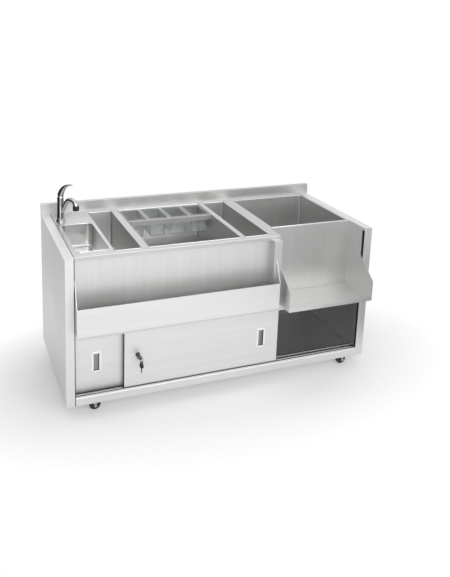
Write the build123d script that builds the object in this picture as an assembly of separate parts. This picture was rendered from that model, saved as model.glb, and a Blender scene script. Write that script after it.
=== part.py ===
from build123d import *
import math
import os

# A cocktail station of folded stainless sheet, standing on four swivel castors.
# Millimetres, +Z up, +X to the right, the front faces -Y. The origin lies on the floor
# under the middle of the whole footprint, the projecting shelf included.

# Overall sizes
STATION_WIDTH = 1600.0
CABINET_DEPTH = 700.0
WORKTOP_HEIGHT = 780.0
SPLASH_RISE = 60.0
SPLASH_DEPTH = 20.0

# Sheet metal
SHEET = 1.5
BEND = 2.5
FLANGE = 45.0
LIP = 14.0
HEM = 12.0
LINER_MARGIN = 8.0
LINER_SETBACK = 20.0

# Base, and the level of the bottle rail and the shelf
SKIRT_BOTTOM = 62.0
BASE_HEIGHT = 38.0
DECK_LEVEL = 425.0

# Worktop, from left to right
EDGE_BAND = 20.0
WORKTOP_SETBACK = 25.0
DECK_JOINT = 3.0
FRONT_STRIP = 33.0
REAR_STRIP = 30.0
SINK_MARGIN = 21.0
SINK_WIDTH = 160.0
SINK_TO_BIN = 14.0
BIN_WIDTH = 130.0
LEFT_DIVIDER = 34.0
WELL_WIDTH = 472.0
RIGHT_DIVIDER = 24.0
BIN_TO_PARTITION = 4.0
PARTITION_WIDTH = 42.0

# Sink
SINK_FRONT_STRIP = 57.0
SINK_LENGTH = 398.0
SINK_DEPTH = 120.0
SINK_CORNER = 28.0
SINK_FLOOR_RADIUS = 12.0
SINK_DRAIN_BACK = 97.0
THREAD_PAST_NUT = 2.0
WASTE_THREAD = 22.0
WASTE_TAIL = 19.0
WASTE_BORE = 16.0
WASTE_FLANGE = 34.0
WASTE_DROP = 90.0
WASTE_NUT_HEIGHT = 14.0
WASTE_NUT_WIDTH = 56.0
STRAINER_THICK = 2.0
STRAINER_SLOTS = 8
STRAINER_SLOT_LENGTH = 14.0
STRAINER_SLOT_WIDTH = 3.0
STRAINER_SLOT_RADIUS = 16.0

# Bins and the glass well
BIN_DEPTH = 170.0
WELL_DEPTH = 180.0
BIN_CORNER = 10.0

# Garnish pans and the frame that they hang in
PAN_COUNT = 4
PAN_RIM_WIDTH = 108.0
PAN_RIM_LENGTH = 176.0
PAN_RIM_THICK = 3.0
PAN_REST = 7.0
PAN_CLEARANCE = 2.0
PAN_DEPTH = 100.0
PAN_WALL = 2.5
PAN_TAPER = 3.5
PAN_CORNER = 14.0
PAN_FRAME_THICK = 2.0
PAN_FRAME_LENGTH = 205.0
PAN_FRAME_BAR = 14.0
PAN_FRAME_LIP = 25.0

# Ice bin
ICE_SETBACK = 137.0
ICE_WALL = 15.0
ICE_DEPTH = 300.0
FALSE_FLOOR_HEIGHT = 25.0
FALSE_FLOOR_GAP = 1.5
FALSE_FLOOR_HOLE = 6.0
FALSE_FLOOR_ROWS = 6
FALSE_FLOOR_COLUMNS = 6
FALSE_FLOOR_PITCH = 64.0
ICE_DRAIN_THREAD = 15.0
ICE_DRAIN_TAIL = 12.5
ICE_DRAIN_BORE = 10.0
ICE_DRAIN_FLANGE = 24.0
ICE_DRAIN_FLANGE_THICK = 2.0
ICE_DRAIN_DROP = 60.0
ICE_DRAIN_NUT_WIDTH = 36.0
ICE_DRAIN_NUT_HEIGHT = 10.0

# Bottle rail
RAIL_REACH = 46.0
RAIL_PLATE = 133.0
RAIL_OVERHANG = 16.0
RAIL_BACK_SETBACK = 55.0
RAIL_CHEEK_SLOPE = 2.3

# Projecting shelf
SHELF_REACH = 104.0
SHELF_LIP = 20.0
SHELF_CHEEK = 104.0
SHELF_CHEEK_SETBACK = 20.0
SHELF_CHEEK_TOP = 205.0

# Sliding doors
DOOR_OVERLAP = 104.0
DOOR_THICK = 15.0
DOOR_SETBACK = 6.0
DOOR_GAP = 9.0
DOOR_END_GAP = 2.0
DOOR_LIFT = 2.5
DOOR_TOP_GAP = 2.0
DOOR_TO_PARTITION = 21.0
FRONT_DOOR_OPEN = 474.0
FRONT_PULL_INSET = 95.0
REAR_PULL_INSET = 101.0
PULL_WIDTH = 45.0
PULL_HEIGHT = 102.0
PULL_RAISE = 7.0
PULL_RIM = 4.0
PULL_RIM_THICK = 1.2
PULL_DEPTH = 12.0
PULL_WALL = 1.0
PULL_CORNER = 4.0

# Door rollers, track and guide
TRACK_HEIGHT = 34.0
TRACK_WALL = 1.5
TRACK_LEDGE = 9.75
ROLLER_RADIUS = 11.0
ROLLER_WIDTH = 7.0
ROLLER_GAP = 0.3
ROLLER_INSET = 60.0
AXLE_RADIUS = 3.0
AXLE_HEAD_RADIUS = 4.5
AXLE_HEAD_THICK = 1.2
LUG_WIDTH = 40.0
LUG_THICK = 2.0
LUG_RISE = 8.0
RUNNING_FIT = 0.05
GUIDE_RIB = 10.0
GUIDE_GAP = 1.5

# Push lock and keys
LOCK_INSET = 66.0
LOCK_HEIGHT = 272.0
LOCK_TRAVEL = 9.0
BARREL_RADIUS = 9.0
BARREL_LENGTH = 17.0
BARREL_FLANGE_RADIUS = 11.5
BARREL_FLANGE_THICK = 2.0
CORE_RADIUS = 6.45
CORE_REACH = 13.0
STRIKE_WIDTH = 11.0
STRIKE_HEIGHT = 40.0
STRIKE_PROUD = 6.0
STRIKE_PLAY = 2.0
STRIKE_ROUND = 2.0
PLUG_RADIUS = 4.0
PLUG_LENGTH = 8.0
KEY_THICK = 4.0
KEY_HEAD_RADIUS = 12.0
KEY_HEAD_SPACING = 18.0
KEY_EYE_RIM = 7.5
KEY_EYE = 4.2
KEY_NECK_WIDTH = 9.0
KEY_NECK = 4.0
KEY_BLADE_WIDTH = 5.0
KEY_BLADE_THICK = 2.0
KEY_BLADE_SEAT = 6.0
KEY_BLADE_LENGTH = 22.0
KEY_RING_RADIUS = 10.0
KEY_RING_WIRE = 0.7
KEY_RING_PLAY = 0.25
SPARE_KEY_PLAY = 0.8
SPARE_KEY_TURN = 30.0

# Tap
TAP_FROM_LEFT = 80.0
TAP_FROM_FRONT = 550.0
TAP_TURN = -50.0
TAP_COLLAR_RADIUS = 24.0
TAP_COLLAR_HEIGHT = 6.0
TAP_SHOULDER_HEIGHT = 14.0
TAP_FOOT_RADIUS = 20.0
TAP_NECK_RADIUS = 17.0
TAP_COLUMN_HEIGHT = 108.0
TAP_SHANK_RADIUS = 16.0
TAP_SHANK_LENGTH = 42.0
TAP_HOLE_GAP = 1.0
TAP_NUT_WIDTH = 46.0
TAP_NUT_HEIGHT = 9.0
TAP_WASHER_RADIUS = 26.0
TAP_WASHER_THICK = 2.0
SPOUT_REACH = 100.0
SPOUT_RADIUS = 12.5
SPOUT_BEND = 32.0
SPOUT_BEND_HEIGHT = 92.0
SPOUT_BEND_START = 150.0
SPOUT_ROOT = 65.0
SPOUT_DROP = 2.0
AERATOR_RADIUS = 14.5
AERATOR_BORE = 10.5
AERATOR_HEIGHT = 15.0
CAP_GAP = 0.3
CAP_SKIRT = 18.0
CAP_DOME = 16.0
LEVER_GAP = 0.4
LEVER_REACH = 76.0
LEVER_RISE = 74.0
LEVER_TIP_THICK = 6.0
LEVER_ROOT_WIDTH = 22.0
LEVER_TIP_WIDTH = 12.0
LEVER_TIP_BLUNT = 2.0
LEVER_SEAT_ANGLE = 30.0
LEVER_BACK_X = 10.0
LEVER_BACK_Z = 55.0
LEVER_BELLY_X = 37.0
LEVER_BELLY_Z = 47.0

# Castors
CASTOR_SIDE_INSET = 122.0
CASTOR_END_INSET = 52.0
CASTOR_HEIGHT = 73.0
CASTOR_TRAIL = 22.0
CASTOR_GAP = 0.3
WHEEL_RADIUS = 27.5
WHEEL_WIDTH = 18.0
TYRE_DEPTH = 9.0
TYRE_ROUND = 4.0
HUB_BOSS = 8.0
HUB_PROUD = 0.7
HUB_DISH = 4.0
CASTOR_AXLE = 4.0
CASTOR_AXLE_HEAD_RADIUS = 7.0
CASTOR_AXLE_HEAD_THICK = 3.0
FORK_LEG = 2.5
FORK_EYE = 9.0
FORK_CROWN_RADIUS = 26.0
FORK_CROWN_THICK = 4.0
FORK_LEAD = 18.0
FORK_TAIL = 34.0
CASTOR_PLATE = 70.0
CASTOR_PLATE_THICK = 3.0
CASTOR_PLATE_CORNER = 8.0
RACE_RADIUS = 24.0
RACE_HEIGHT = 3.2
KINGPIN_RADIUS = 6.0
KINGPIN_HEAD_RADIUS = 9.0
KINGPIN_HEAD_THICK = 1.5
BOLT_SPACING = 54.0
BOLT_RADIUS = 3.0
BOLT_HOLE_GAP = 0.25
BOLT_HEAD_WIDTH = 10.0
BOLT_HEAD_HEIGHT = 3.0
BOLT_PAST = 6.0
CHANNEL_WIDTH = 80.0
CHANNEL_END_GAP = 15.0

# Planes of the carcass
LEFT = -STATION_WIDTH / 2
RIGHT = STATION_WIDTH / 2
FRONT = (SHELF_REACH - CABINET_DEPTH) / 2
BACK = FRONT + CABINET_DEPTH
INNER_LEFT = LEFT + FLANGE
INNER_RIGHT = RIGHT - FLANGE
BACK_PANEL_FACE = BACK - 2 * SHEET
BASE_TOP = SKIRT_BOTTOM + BASE_HEIGHT
WORKTOP_UNDERSIDE = WORKTOP_HEIGHT - SHEET
EDGE_BOTTOM = WORKTOP_HEIGHT - EDGE_BAND

# Spans of the wells along X and Y
SINK_X = (INNER_LEFT + SINK_MARGIN, INNER_LEFT + SINK_MARGIN + SINK_WIDTH)
LEFT_BIN_X = (SINK_X[1] + SINK_TO_BIN, SINK_X[1] + SINK_TO_BIN + BIN_WIDTH)
WELL_X = (LEFT_BIN_X[1] + LEFT_DIVIDER, LEFT_BIN_X[1] + LEFT_DIVIDER + WELL_WIDTH)
RIGHT_BIN_X = (WELL_X[1] + RIGHT_DIVIDER, WELL_X[1] + RIGHT_DIVIDER + BIN_WIDTH)
PARTITION_LEFT = RIGHT_BIN_X[1] + BIN_TO_PARTITION
PARTITION_X = (PARTITION_LEFT, PARTITION_LEFT + PARTITION_WIDTH)
ICE_OUTER_X = (PARTITION_X[1], INNER_RIGHT)
ICE_X = (ICE_OUTER_X[0] + ICE_WALL, ICE_OUTER_X[1] - ICE_WALL)
WORKTOP_FRONT = FRONT + WORKTOP_SETBACK
WELL_Y = (WORKTOP_FRONT + FRONT_STRIP, BACK - SPLASH_DEPTH - REAR_STRIP)
SINK_Y = (WORKTOP_FRONT + SINK_FRONT_STRIP, WORKTOP_FRONT + SINK_FRONT_STRIP + SINK_LENGTH)
ICE_OUTER_Y = (FRONT + ICE_SETBACK, WELL_Y[1] + ICE_WALL)
ICE_Y = (ICE_OUTER_Y[0] + ICE_WALL, ICE_OUTER_Y[1] - ICE_WALL)
ICE_FLOOR = WORKTOP_HEIGHT - ICE_DEPTH
ICE_OUTER_FLOOR = ICE_FLOOR - ICE_WALL
SINK_FLOOR = WORKTOP_HEIGHT - SINK_DEPTH
PAN_FRAME_Y = (WELL_Y[1] - PAN_FRAME_LENGTH, WELL_Y[1])
PAN_Y = (PAN_FRAME_Y[0] + PAN_FRAME_BAR, PAN_FRAME_Y[0] + PAN_FRAME_BAR + PAN_RIM_LENGTH)

# Doors, track and lock
DOOR_WIDTH = (INNER_RIGHT - INNER_LEFT + DOOR_OVERLAP) / 2 - DOOR_END_GAP
FRONT_DOOR_Y = FRONT + DOOR_SETBACK
REAR_DOOR_Y = FRONT_DOOR_Y + DOOR_THICK + DOOR_GAP
REAR_DOOR_X = INNER_LEFT + DOOR_END_GAP
FRONT_DOOR_CLOSED_X = INNER_RIGHT - DOOR_END_GAP - DOOR_WIDTH
FRONT_DOOR_X = FRONT_DOOR_CLOSED_X - FRONT_DOOR_OPEN
TRACK_BOTTOM = DECK_LEVEL - TRACK_HEIGHT
DOOR_BOTTOM = BASE_TOP + SHEET + DOOR_LIFT
DOOR_TOP = TRACK_BOTTOM - DOOR_TOP_GAP
ROLLER_Z = TRACK_BOTTOM + TRACK_WALL + ROLLER_GAP + ROLLER_RADIUS
PULL_Z = (DOOR_BOTTOM + DOOR_TOP) / 2 + PULL_RAISE
FRONT_PULL_X = FRONT_DOOR_X + DOOR_WIDTH - FRONT_PULL_INSET
REAR_PULL_X = REAR_DOOR_X + REAR_PULL_INSET
LOCK_X = FRONT_DOOR_X + LOCK_INSET
CORE_FRONT = FRONT_DOOR_Y - BARREL_FLANGE_THICK - LOCK_TRAVEL
KEY_EYE_Y = CORE_FRONT - KEY_NECK - KEY_HEAD_RADIUS - KEY_HEAD_SPACING
KEY_RIM_HALF = (KEY_EYE_RIM - KEY_EYE) / 2
KEY_RIM_X = LOCK_X + KEY_EYE + KEY_RIM_HALF
KEY_RING_TOP = LOCK_HEIGHT + math.hypot(KEY_THICK / 2, KEY_RIM_HALF) + KEY_RING_PLAY + KEY_RING_WIRE
KEY_RING_Z = KEY_RING_TOP - KEY_RING_RADIUS
SPARE_EYE_Z = KEY_RING_Z - KEY_RING_RADIUS + KEY_RING_WIRE + SPARE_KEY_PLAY - KEY_EYE

# Places of the tap, the drains and the castors
TAP_AT = (LEFT + TAP_FROM_LEFT, FRONT + TAP_FROM_FRONT, WORKTOP_HEIGHT)
TAP_DOME_Z = TAP_COLUMN_HEIGHT + CAP_GAP + CAP_SKIRT
SINK_DRAIN_AT = ((SINK_X[0] + SINK_X[1]) / 2, SINK_Y[1] - SINK_DRAIN_BACK)
ICE_DRAIN_AT = ((ICE_X[0] + ICE_X[1]) / 2, (ICE_Y[0] + ICE_Y[1]) / 2)
CASTOR_ROWS = {"front": FRONT + CASTOR_END_INSET, "rear": BACK - CASTOR_END_INSET}
CASTOR_COLUMNS = {"left": LEFT + CASTOR_SIDE_INSET, "right": RIGHT - CASTOR_SIDE_INSET}
PLATE_LOW = CASTOR_HEIGHT - CASTOR_PLATE_THICK
RACE_LOW = PLATE_LOW - RACE_HEIGHT
CROWN_TOP = RACE_LOW - CASTOR_GAP
CROWN_LOW = CROWN_TOP - FORK_CROWN_THICK
LEG_INNER = WHEEL_WIDTH / 2 + HUB_PROUD + CASTOR_GAP
LEG_OUTER = LEG_INNER + FORK_LEG


def grown(span, by):
    """A (low, high) pair moved out at both ends."""
    return (span[0] - by, span[1] + by)


def around(middle, size):
    """A (low, high) pair about a middle."""
    return (middle - size / 2, middle + size / 2)


def flat(across, up):
    """A rectangle between two (low, high) pairs."""
    return Pos(sum(across) / 2, sum(up) / 2) * Rectangle(across[1] - across[0], up[1] - up[0])


def rounded(across, up, corner):
    """A rectangle with round corners between two (low, high) pairs."""
    return Pos(sum(across) / 2, sum(up) / 2) * RectangleRounded(across[1] - across[0], up[1] - up[0], corner)


def outline(points):
    """A flat face inside straight edges."""
    return make_face(Polyline(points, close=True))


def along_x(face, x):
    """A face drawn in Y and Z, extruded between two X planes."""
    return extrude(Plane.YZ.offset(x[0]) * face, amount=x[1] - x[0], dir=Plane.YZ.z_dir)


def along_y(face, y):
    """A face drawn in X and Z, extruded between two Y planes."""
    return extrude(Plane.XZ.offset(-y[1]) * face, amount=y[1] - y[0], dir=Plane.XZ.z_dir)


def along_z(face, z):
    """A face drawn in X and Y, extruded between two Z planes."""
    return extrude(Plane.XY.offset(z[0]) * face, amount=z[1] - z[0], dir=Plane.XY.z_dir)


def block(x, y, z):
    """A box between three (low, high) pairs."""
    return along_z(flat(x, y), z)


def turned(points):
    """A solid of revolution about Z, from radius and height points."""
    return revolve(Plane.XZ * outline(points), Axis.Z)


def hex_nut(width, bore, z):
    """A hexagon nut about Z."""
    return along_z(RegularPolygon(width / 2, 6, major_radius=False) - Circle(bore), z)


def placed(place, *solids):
    """Separate solids of one node, moved to their place."""
    return Compound(children=[place * solid for solid in solids])


def open_bin(x, y, floor, corner):
    """A folded bin, open at the top, that hangs under the worktop sheet."""
    outside = rounded(grown(x, SHEET), grown(y, SHEET), corner + SHEET)
    bin_body = along_z(outside, (floor - SHEET, WORKTOP_UNDERSIDE))
    return bin_body - along_z(rounded(x, y, corner), (floor, WORKTOP_UNDERSIDE))


def side_panel():
    """The left outer panel: one sheet folded round all four sides, with stiffening lips."""
    skin = block((LEFT, INNER_LEFT), (FRONT, BACK), (SKIRT_BOTTOM, WORKTOP_HEIGHT))
    skin = fillet(skin.edges().group_by(Axis.X)[0], BEND)
    inside = (SKIRT_BOTTOM + SHEET, WORKTOP_UNDERSIDE)
    skin -= block((LEFT + SHEET, INNER_LEFT), (FRONT + SHEET, BACK - SHEET), inside)
    lip_x = (INNER_LEFT - SHEET, INNER_LEFT)
    lip_y = (FRONT + SHEET, BACK_PANEL_FACE)
    top_lip = block(lip_x, lip_y, (WORKTOP_HEIGHT - LIP, WORKTOP_UNDERSIDE))
    bottom_lip = block(lip_x, lip_y, (SKIRT_BOTTOM + SHEET, SKIRT_BOTTOM + LIP))
    return skin + top_lip + bottom_lip


def side_liner():
    """The left inner wall, a flat sheet on the lips of the side panel, open behind the front flange."""
    x = (INNER_LEFT - 2 * SHEET, INNER_LEFT - SHEET)
    z = grown((SKIRT_BOTTOM, WORKTOP_HEIGHT), -LINER_MARGIN)
    return block(x, (FRONT + LINER_SETBACK, BACK_PANEL_FACE), z)


def back_panel():
    """The flat rear sheet, lapped inside the rear flanges of the side panels."""
    z = (SKIRT_BOTTOM + SHEET, WORKTOP_UNDERSIDE)
    return block(grown((LEFT, RIGHT), -SHEET), (BACK_PANEL_FACE, BACK - SHEET), z)


def backsplash():
    """The upstand along the back: an inverted channel with closed ends."""
    y = (BACK - SPLASH_DEPTH, BACK)
    z = (WORKTOP_HEIGHT, WORKTOP_HEIGHT + SPLASH_RISE)
    upstand = block((LEFT, RIGHT), y, z)
    upstand = fillet(upstand.edges().group_by(Axis.Z)[-1], BEND)
    return upstand - block(grown((LEFT, RIGHT), -SHEET), grown(y, -SHEET), (z[0], z[1] - SHEET))


def base_tray():
    """The cabinet floor, folded down on all sides, with its front skirt in the flange plane."""
    x = (INNER_LEFT, INNER_RIGHT)
    y = (FRONT, BACK_PANEL_FACE)
    tray = block(x, y, (SKIRT_BOTTOM, BASE_TOP))
    front_edge = tray.edges().filter_by(Axis.X).group_by(Axis.Z)[-1].sort_by(Axis.Y)[0]
    tray = fillet(front_edge, BEND)
    return tray - block(grown(x, -SHEET), grown(y, -SHEET), (SKIRT_BOTTOM, BASE_TOP - SHEET))


def bolt_places(at):
    """The four bolt places on the plate of a castor."""
    return [Pos(*at) * place for place in GridLocations(BOLT_SPACING, BOLT_SPACING, 2, 2)]


def bolt_holes(at):
    """The clearance holes for the bolts of a castor, through its plate and its channel."""
    hole = Circle(BOLT_RADIUS + BOLT_HOLE_GAP)
    return [along_z(place * hole, (PLATE_LOW, CASTOR_HEIGHT + SHEET)) for place in bolt_places(at)]


def castor_channel(middle):
    """A channel under the cabinet floor that carries two castors."""
    y = around(middle, CHANNEL_WIDTH)
    z = (CASTOR_HEIGHT, BASE_TOP - SHEET)
    profile = flat(y, z) - flat(grown(y, -SHEET), (z[0] + SHEET, z[1]))
    channel = along_x(profile, grown((INNER_LEFT, INNER_RIGHT), -CHANNEL_END_GAP))
    for x in CASTOR_COLUMNS.values():
        channel -= bolt_holes((x, middle))
    return channel


def centre_partition():
    """The hollow wall between the bottle bay and the shelf bay, stepped back below for the doors."""
    step = REAR_DOOR_Y + DOOR_THICK + DOOR_TO_PARTITION
    under_edge = WORKTOP_FRONT + HEM
    side = outline([
        (FRONT, DECK_LEVEL),
        (FRONT, EDGE_BOTTOM),
        (under_edge, EDGE_BOTTOM),
        (under_edge, WORKTOP_UNDERSIDE),
        (BACK_PANEL_FACE, WORKTOP_UNDERSIDE),
        (BACK_PANEL_FACE, BASE_TOP),
        (step, BASE_TOP),
        (step, DECK_LEVEL),
    ])
    inside = grown(PARTITION_X, -SHEET)
    cavity = along_x(offset(side, -SHEET, kind=Kind.INTERSECTION), inside)
    rear_y = (BACK_PANEL_FACE - SHEET, BACK_PANEL_FACE)
    rear = block(inside, rear_y, (BASE_TOP + SHEET, WORKTOP_UNDERSIDE - SHEET))
    return along_x(side, PARTITION_X) - cavity - rear


def upper_door_track():
    """The two-channel track over the doors. Each channel has a ledge that its rollers run on."""
    pitch = DOOR_THICK + DOOR_GAP
    first = lug_face(FRONT_DOOR_Y) - pitch / 2
    walls = [first, first + pitch, first + 2 * pitch]
    ledge_z = (TRACK_BOTTOM, TRACK_BOTTOM + TRACK_WALL)
    profile = flat(grown((walls[0], walls[2]), TRACK_WALL / 2), (DECK_LEVEL - TRACK_WALL, DECK_LEVEL))
    for wall in walls:
        profile += flat(around(wall, TRACK_WALL), (TRACK_BOTTOM, DECK_LEVEL))
    for wall in walls[:2]:
        profile += flat((wall, wall + TRACK_WALL / 2 + TRACK_LEDGE), ledge_z)
    return along_x(profile, (INNER_LEFT, INNER_RIGHT))


def lower_door_guide():
    """The sill guide: low ribs with a door running between each pair."""
    front = FRONT_DOOR_Y - GUIDE_GAP
    rear = REAR_DOOR_Y + DOOR_THICK + GUIDE_GAP
    between = (FRONT_DOOR_Y + DOOR_THICK + GUIDE_GAP, REAR_DOOR_Y - GUIDE_GAP)
    profile = flat(grown((front, rear), SHEET), (BASE_TOP, BASE_TOP + SHEET))
    for rib in ((front - SHEET, front), between, (rear, rear + SHEET)):
        profile += flat(rib, (BASE_TOP, BASE_TOP + SHEET + GUIDE_RIB))
    return along_x(profile, (INNER_LEFT, INNER_RIGHT))


def worktop():
    """The top sheet with its front edge folded down and hemmed, and an opening over each well."""
    through = (WORKTOP_UNDERSIDE, WORKTOP_HEIGHT)
    front_x = (INNER_LEFT + DECK_JOINT, PARTITION_X[1])
    sheet = block(front_x, (WORKTOP_FRONT, BACK - SHEET), through)
    sheet += block(ICE_OUTER_X, (ICE_OUTER_Y[0], BACK - SHEET), through)
    sheet += block(front_x, (WORKTOP_FRONT, WORKTOP_FRONT + SHEET), (EDGE_BOTTOM, WORKTOP_HEIGHT))
    sheet += block(front_x, (WORKTOP_FRONT, WORKTOP_FRONT + HEM), (EDGE_BOTTOM, EDGE_BOTTOM + SHEET))
    sheet -= along_z(rounded(SINK_X, SINK_Y, SINK_CORNER), through)
    for x in (LEFT_BIN_X, WELL_X, RIGHT_BIN_X):
        sheet -= along_z(rounded(x, WELL_Y, BIN_CORNER), through)
    sheet -= along_z(rounded(ICE_X, ICE_Y, BIN_CORNER), through)
    tap_hole = Pos(TAP_AT[0], TAP_AT[1]) * Circle(TAP_SHANK_RADIUS + TAP_HOLE_GAP)
    sheet -= along_z(tap_hole, through)
    front_edge = sheet.edges().filter_by(Axis.X).group_by(Axis.Y)[0].sort_by(Axis.Z)[-1]
    return fillet(front_edge, BEND)


def sink_bowl():
    """The pressed bowl with round corners and a drain hole towards its back."""
    outside = rounded(grown(SINK_X, SHEET), grown(SINK_Y, SHEET), SINK_CORNER + SHEET)
    bowl = along_z(outside, (SINK_FLOOR - SHEET, WORKTOP_UNDERSIDE))
    bowl = fillet(bowl.edges().group_by(Axis.Z)[0], SINK_FLOOR_RADIUS + SHEET)
    hollow = along_z(rounded(SINK_X, SINK_Y, SINK_CORNER), (SINK_FLOOR, WORKTOP_UNDERSIDE))
    hollow = fillet(hollow.edges().group_by(Axis.Z)[0], SINK_FLOOR_RADIUS)
    drain = Pos(*SINK_DRAIN_AT) * Circle(WASTE_THREAD)
    return bowl - hollow - along_z(drain, (SINK_FLOOR - SHEET, SINK_FLOOR))


def sink_waste():
    """The waste fitting under the strainer, with the nut that clamps it to the bowl."""
    under = SINK_FLOOR - SHEET
    body = turned([
        (WASTE_BORE, SINK_FLOOR + SHEET),
        (WASTE_FLANGE, SINK_FLOOR + SHEET),
        (WASTE_FLANGE, SINK_FLOOR),
        (WASTE_THREAD, SINK_FLOOR),
        (WASTE_THREAD, under - WASTE_NUT_HEIGHT - THREAD_PAST_NUT),
        (WASTE_TAIL, under - WASTE_NUT_HEIGHT - THREAD_PAST_NUT),
        (WASTE_TAIL, SINK_FLOOR - WASTE_DROP),
        (WASTE_BORE, SINK_FLOOR - WASTE_DROP),
    ])
    nut = hex_nut(WASTE_NUT_WIDTH, WASTE_THREAD, (under - WASTE_NUT_HEIGHT, under))
    return placed(Pos(*SINK_DRAIN_AT), body, nut)


def sink_strainer():
    """The slotted disc over the waste."""
    z = (SINK_FLOOR + SHEET, SINK_FLOOR + SHEET + STRAINER_THICK)
    disc = along_z(Circle(WASTE_FLANGE), z)
    disc = fillet(disc.edges().group_by(Axis.Z)[-1], STRAINER_THICK / 2)
    slot = Pos(STRAINER_SLOT_RADIUS, 0) * SlotOverall(STRAINER_SLOT_LENGTH, STRAINER_SLOT_WIDTH)
    for number in range(STRAINER_SLOTS):
        disc -= along_z(Rot(Z=number * 360 / STRAINER_SLOTS) * slot, z)
    return Pos(*SINK_DRAIN_AT) * disc


def tap_place():
    """The tap's place on the deck, turned towards the bowl."""
    return Pos(*TAP_AT) * Rot(Z=TAP_TURN)


def tap_body():
    """The cast column with its collar, shank and fixed spout."""
    column = turned([
        (0, -TAP_SHANK_LENGTH),
        (TAP_SHANK_RADIUS, -TAP_SHANK_LENGTH),
        (TAP_SHANK_RADIUS, 0),
        (TAP_COLLAR_RADIUS, 0),
        (TAP_COLLAR_RADIUS, TAP_COLLAR_HEIGHT),
        (TAP_FOOT_RADIUS, TAP_SHOULDER_HEIGHT),
        (TAP_NECK_RADIUS, TAP_COLUMN_HEIGHT),
        (0, TAP_COLUMN_HEIGHT),
    ])
    bend_x = SPOUT_REACH - SPOUT_BEND
    start = math.radians(SPOUT_BEND_START)
    bend_start = Vector(
        bend_x + SPOUT_BEND * math.cos(start), 0, SPOUT_BEND_HEIGHT + SPOUT_BEND * math.sin(start)
    )
    root = bend_start - Vector(math.sin(start), 0, -math.cos(start)) * SPOUT_ROOT
    bend_top = (bend_x, 0, SPOUT_BEND_HEIGHT + SPOUT_BEND)
    bend_end = (SPOUT_REACH, 0, SPOUT_BEND_HEIGHT)
    outlet = (SPOUT_REACH, 0, SPOUT_BEND_HEIGHT - SPOUT_DROP)
    path = Wire([Line(root, bend_start), ThreePointArc(bend_start, bend_top, bend_end), Line(bend_end, outlet)])
    section = Plane(origin=path @ 0, z_dir=path % 0) * Circle(SPOUT_RADIUS)
    return tap_place() * (column + sweep(section, path))


def tap_aerator():
    """The outlet insert at the end of the spout."""
    top = SPOUT_BEND_HEIGHT - SPOUT_DROP
    ring = Pos(SPOUT_REACH, 0) * (Circle(AERATOR_RADIUS) - Circle(AERATOR_BORE))
    return tap_place() * along_z(ring, (top - AERATOR_HEIGHT, top))


def tap_swivel_cap():
    """The domed cap over the cartridge, which turns with the lever to set the temperature."""
    skirt = along_z(Circle(TAP_NECK_RADIUS), (TAP_COLUMN_HEIGHT + CAP_GAP, TAP_DOME_Z))
    return tap_place() * (skirt + Pos(0, 0, TAP_DOME_Z) * Sphere(CAP_DOME))


def tap_lever():
    """The swan-necked lever, hollowed at its root to sit over the dome of the cap."""
    seat = CAP_DOME + LEVER_GAP
    angle = math.radians(LEVER_SEAT_ANGLE)
    toe = (seat * math.cos(angle), TAP_DOME_Z + seat * math.sin(angle))
    heel = (-toe[0], toe[1])
    tip = (LEVER_REACH, TAP_DOME_Z + LEVER_RISE)
    under_tip = (tip[0], tip[1] - LEVER_TIP_THICK)
    profile = make_face([
        ThreePointArc(heel, (LEVER_BACK_X, TAP_DOME_Z + LEVER_BACK_Z), tip),
        Line(tip, under_tip),
        ThreePointArc(under_tip, (LEVER_BELLY_X, TAP_DOME_Z + LEVER_BELLY_Z), toe),
        ThreePointArc(toe, (0, TAP_DOME_Z + seat), heel),
    ])
    root = Circle(LEVER_ROOT_WIDTH / 2)
    end = Pos(LEVER_REACH + LEVER_TIP_BLUNT - LEVER_TIP_WIDTH / 2, 0) * Circle(LEVER_TIP_WIDTH / 2)
    heel_end = Pos(heel[0], 0) * root
    plan = make_hull(heel_end.edges() + end.edges())
    blade = along_y(profile, around(0, 2 * LEVER_ROOT_WIDTH))
    return tap_place() * (blade & along_z(plan, (TAP_DOME_Z, TAP_DOME_Z + 2 * LEVER_RISE)))


def tap_fixing():
    """The washer and nut that hold the tap under the deck."""
    washer_low = -SHEET - TAP_WASHER_THICK
    washer = along_z(Circle(TAP_WASHER_RADIUS) - Circle(TAP_SHANK_RADIUS), (washer_low, -SHEET))
    nut = hex_nut(TAP_NUT_WIDTH, TAP_SHANK_RADIUS, (washer_low - TAP_NUT_HEIGHT, washer_low))
    return placed(tap_place(), washer, nut)


def pan_spans():
    """The X span of each garnish pan's rim, evenly spaced across the well."""
    pitch = WELL_WIDTH / PAN_COUNT
    first = WELL_X[0] + pitch / 2
    return [around(first + pitch * number, PAN_RIM_WIDTH) for number in range(PAN_COUNT)]


def pan_frame():
    """The frame at the back of the well that the pans hang in, with a lip along its front."""
    top = WORKTOP_HEIGHT - PAN_RIM_THICK
    z = (top - PAN_FRAME_THICK, top)
    plate = along_z(rounded(WELL_X, WELL_Y, BIN_CORNER), z) & block(WELL_X, PAN_FRAME_Y, z)
    lip_y = (PAN_FRAME_Y[0], PAN_FRAME_Y[0] + PAN_FRAME_THICK)
    plate += block(WELL_X, lip_y, (top - PAN_FRAME_LIP, top))
    for x in pan_spans():
        hole = rounded(grown(x, -PAN_REST), grown(PAN_Y, -PAN_REST), PAN_CORNER + PAN_CLEARANCE)
        plate -= along_z(hole, z)
    return plate


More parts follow.
